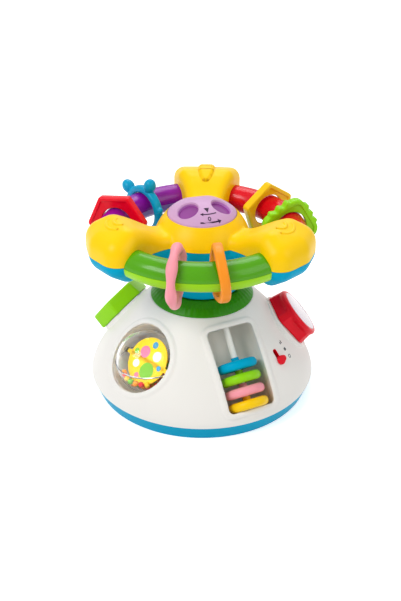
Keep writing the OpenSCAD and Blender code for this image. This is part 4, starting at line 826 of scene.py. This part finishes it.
# Dial. A lilac cap turns on a spindle in the hub; three lenses sit deep in round holes that throw the
# picture. Plain marks on its face point to the settings.
lens_tilt, lens_turn, lens_r, lens_depth = 24.0, 225.0, 9.8, 7.0
dial_wall, dial_foot, well_w, well_low = 2.6, 1.4, 1.4, -9.4
ink_sink, ink_rise, zero_r, zero_turn = 0.3, 0.14, 26.3, 285
rim_start = acos(dial_r / crown_r)
face = crown_arc(crown_r, rim_start, pi / 2, 60)
face[0] = (dial_r - 0.5, face[0][1] + 0.2)
under = crown_arc(crown_r - dial_wall, pi / 2, rim_start + 0.06, 20)
dial_bm = lathe([(dial_r, dial_z - dial_foot), (dial_r, dial_z - 0.5)] + face + under
                + [(dial_r - 4, dial_z - dial_foot)], 240)
lens_places = [Matrix.Translation((0, 0, crown_z)) @ Matrix.Rotation(radians(lens_turn + 120 * i), 4, "Z")
               @ Matrix.Rotation(radians(lens_tilt), 4, "Y") @ Matrix.Translation((0, 0, crown_r))
               for i in range(3)]
hole_outline = [(0, -12), (lens_r, -12), (lens_r, -2.8), (lens_r + 0.5, -2.0), (lens_r + 1.5, -1.0),
                (lens_r + 2.6, 8), (0, 8)]
well_outline = [(lens_r - 0.02, -2.7), (lens_r + well_w, -3.2), (lens_r + well_w, well_low),
                (lens_r - well_w, well_low), (lens_r - well_w, -lens_depth), (lens_r - 0.3, -lens_depth)]
dial_bm = cut(dial_bm, [placed(lathe(hole_outline, 72), spot) for spot in lens_places])
lilac = plastic("lilac_plastic", linear(208, 164, 204), rough=0.34)
# The walls of the three lens holes are painted a darker purple lilac than the cap: painted shade of the deep
# holes.
lilac_with_painted_shade = plastic("lens_well_painted_shade", linear(198, 130, 204), rough=0.34)
lens_purple = plastic("lens_resin", linear(172, 84, 174), rough=0.1, clear=0.3)
dial_ink = plastic("dial_ink", linear(52, 30, 58), rough=0.45)
add_piece("dial_cap", dial_bm, "dial", lilac, ["projector_dial"], "lilac", sharp=50)
for i, spot in enumerate(lens_places):
    add_piece(f"lens_well_{i}", lathe(well_outline, 64), "dial", lilac_with_painted_shade, slot="lilac", place=spot)
dress(lens_purple, "dial_lenses")


def print_on_dial(name, loops):
    """Thin printed mark on the dial, from closed loops of (distance from the axis, direction in degrees)."""
    bm = bmesh.new()
    middle = Vector((0, 0, crown_z))
    for loop in loops:
        spots = [Vector((r * cos(radians(t)), r * sin(radians(t)), sqrt(crown_r ** 2 - r * r)))
                 for r, t in loop]
        lower = [bm.verts.new(v * (1 - ink_sink / crown_r) + middle) for v in spots]
        upper = [bm.verts.new(v * (1 + ink_rise / crown_r) + middle) for v in spots]
        bm.faces.new(upper)
        bm.faces.new(lower[::-1])
        for k in range(len(spots)):
            bm.faces.new((lower[k - 1], lower[k], upper[k], upper[k - 1]))
    bmesh.ops.recalc_face_normals(bm, faces=bm.faces)
    add_piece(name, bm, "dial", dial_ink)


def arc_band(r, half, start, end, count=16):
    """Band along a circle about the dial's axis."""
    turns = [start + (end - start) * k / count for k in range(count + 1)]
    return [(r + half, t) for t in turns] + [(r - half, t) for t in reversed(turns)]


print_on_dial("dial_arrow_outer", [arc_band(29.6, 0.6, 267, 301),
                                   [(27.7, 300.4), (29.6, 307), (31.5, 300.4)]])
print_on_dial("dial_arrow_inner", [arc_band(21.9, 0.5, 306, 272), [(20.3, 273), (21.9, 265), (23.5, 273)]])
around = [2 * pi * k / 24 for k in range(25)]
zero_out = [(zero_r + 1.9 * cos(a), zero_turn + 3.3 * sin(a)) for a in around]
zero_in = [(zero_r + 1.1 * cos(a), zero_turn + 1.7 * sin(a)) for a in around]
print_on_dial("dial_zero", [zero_out[:13] + zero_in[12::-1], zero_out[12:] + zero_in[:11:-1]])
print_on_dial("dial_triangle", [[(14.8, 275), (20.2, 285), (14.8, 295), (14.6, 285)]])

# Rings. Six loose rings of different shape and colour ride on the tubes, two on each, to slide and chew.
# Each is a solid moulding with soft edges.
def on_tube(turn, slack, lean, tilt=0, yaw=0):
    """Place of a ring whose hole rests on its tube. X points away from the hub and Y points up."""
    inward, down = slack * cos(radians(lean)), slack * sin(radians(lean))
    return (Matrix.Rotation(radians(turn), 4, "Z")
            @ Matrix.Translation((tube_ring_r - inward, 0, tube_z - down))
            @ Matrix.Rotation(pi / 2, 4, "X") @ Matrix.Rotation(radians(yaw), 4, "Y")
            @ Matrix.Rotation(radians(tilt), 4, "X"))


rest_gap = 0.3
wavy_hole, wavy_cord, wavy_thin, waves, wave_start = 20.1, 5.3, 0.72, 6, radians(42.7)
cord_turns = [2 * pi * i / 28 for i in range(28)]
wavy_bm = lathe([(wavy_hole + wavy_cord + cos(a), sin(a)) for a in cord_turns], 180)
for vert in wavy_bm.verts:
    turn = atan2(vert.co.y, vert.co.x)
    middle = Vector((cos(turn), sin(turn), 0)) * (wavy_hole + wavy_cord)
    thick = wavy_cord * (wavy_thin + (1 - wavy_thin) * (1 + cos(waves * (turn - wave_start))) / 2)
    vert.co = middle + (vert.co - middle) * thick
add_piece("wavy_ring_moulding", wavy_bm, "wavy_ring", pink_finish, ["wavy_ring"], "pink",
          on_tube(253.7, wavy_hole - tube_r - rest_gap, 37, 0, 6.7))

flat_hole, flat_r, flat_half, flat_bend, bend_turn = 20.6, 27.0, 4.5, 1.2, radians(33)
flat_bm = lathe(soft_band(flat_hole, flat_r, flat_half, 1.2, 2.2, 6), 128)
for vert in flat_bm.verts:
    vert.co.z -= flat_bend * cos(2 * (atan2(vert.co.y, vert.co.x) + bend_turn))
orange = plastic("orange_plastic", linear(255, 152, 38), rough=0.3)
add_piece("flat_ring_moulding", flat_bm, "flat_ring", orange, ["flat_ring"], "orange",
          on_tube(280.8, flat_hole - tube_r - 3 * rest_gap, 0, 2))


def soft_reach(turn, sides, r, corner):
    """Distance to the edge of a regular outline with round corners; a corner lies at zero."""
    half = pi / sides
    off = abs((turn % (2 * half)) - half)
    mid, side_r = r - corner / cos(half), r * cos(half)
    if side_r * sin(off) / cos(off) <= mid * sin(half):
        return side_r / cos(off)
    return mid * cos(half - off) + sqrt(corner ** 2 - (mid * sin(half - off)) ** 2)


plate_hole, plate_half, plate_edge, plate_brow, tooth_half = 16.0, 4.3, 1.5, 0.7, 1.3


def toothed_reach(turn, sides, r, corner):
    """The same outline with three soft teeth along each side."""
    half = pi / sides
    off = (turn % (2 * half)) - half
    run = r * cos(half) * sin(off) / cos(off) / ((r - corner / cos(half)) * sin(half))
    tooth = tooth_half + tooth_half * cos(3 * pi * run) if abs(run) < 1 else 0
    return soft_reach(turn, sides, r, corner) + tooth


def plate_ring(edge_at, turned, sides, rim, face, dish):
    """Ring plate whose border stands above a dished face. The outlines of rim and face are each given by
    the distance of their corners and the radius of those."""
    bend = [pi / 2 * k / 4 for k in range(5)]
    side = [("rim", plate_edge * (cos(a) - 1), plate_half + plate_edge * (sin(a) - 1)) for a in bend]
    side += [("face", plate_brow * (1 - sin(a)), plate_half + plate_brow * (cos(a) - 1)) for a in bend]
    side += [("face", -0.2, plate_half - dish + 0.3), ("face", -plate_brow, plate_half - dish)]
    side += [("hole", 1 - sin(a), plate_half - dish - 1 + cos(a)) for a in bend]
    section = side + [(anchor, off, -z) for anchor, off, z in reversed(side)]
    # Each point is turned at a radius that tells its number, and then goes to its own distance.
    first_r = 100
    bm = lathe([(first_r + k, z) for k, (_, _, z) in enumerate(section)], 360)
    for vert in bm.verts:
        turn = atan2(vert.co.y, vert.co.x)
        reach = {"rim": edge_at(turn - turned, sides, *rim), "face": soft_reach(turn - turned, sides, *face),
                 "hole": plate_hole}
        anchor, off, _ = section[round(vert.co.xy.length) - first_r]
        vert.co.xy = (reach[anchor] + off) * Vector((cos(turn), sin(turn)))
    bmesh.ops.recalc_face_normals(bm, faces=bm.faces)
    return bm


hexagon_red = plastic("hexagon_red_plastic", linear(238, 4, 36), rough=0.26)
amber = plastic("amber_plastic", linear(255, 204, 24), rough=0.3)
for name, finish, slot, edge_at, turned, sides, rim, face, dish, place in (
        ("hexagon_ring", hexagon_red, "hexagon_red", soft_reach, -6.5, 6, (30.8, 3.0), (26.4, 1.5), 1.2,
         on_tube(162.3, 1.86, 45, 2.7, -1.8)),
        ("pentagon_ring", amber, "amber", soft_reach, 92, 5, (29.5, 4.0), (24.9, 2.0), 1.6,
         on_tube(41, 1.39, 30, 3.5, -7.3)),
        ("toothed_ring", lime_finish, "lime", toothed_reach, 76, 4, (33.2, 10.6), (27.6, 7.8), 1.4,
         on_tube(11.8, 1.69, 66, 0, 6.8))):
    ring_bm = plate_ring(edge_at, radians(turned), sides, rim, face, dish)
    add_piece(name + "_moulding", ring_bm, name, finish, [name], slot, place)

eared_hole, eared_r, eared_half, ear_r, ear_out, nub_r = 18.5, 25.4, 4.3, 6.3, 4.5, 3.3
ear_turns, nub_turn, ear_grain, ear_passes = (36.8, 108.3), 165, 0.55, 8
eared_bm = lathe(soft_band(eared_hole, eared_r, eared_half, 2.6, 2.8, 5), 128)
for turn in ear_turns:
    ear_place = Matrix.Rotation(radians(turn), 4, "Z") @ Matrix.Translation((eared_r + ear_out, 0, 0))
    bmesh.ops.create_uvsphere(eared_bm, u_segments=32, v_segments=16, radius=ear_r,
                              matrix=ear_place @ Matrix.Diagonal((1.22, 0.98, 0.98, 1)))
nub_place = Matrix.Rotation(radians(nub_turn), 4, "Z") @ Matrix.Translation((eared_r - 0.5, 0, 0))
bmesh.ops.create_uvsphere(eared_bm, u_segments=24, v_segments=12, radius=nub_r, matrix=nub_place)
teal = plastic("teal_plastic", linear(0, 162, 204), rough=0.32)
eared_bm = soften(eared_bm, ear_grain, ear_passes)
add_piece("eared_ring_moulding", eared_bm, "eared_ring", teal, ["eared_ring"], "teal",
          on_tube(133, eared_hole - tube_r - rest_gap, 60))
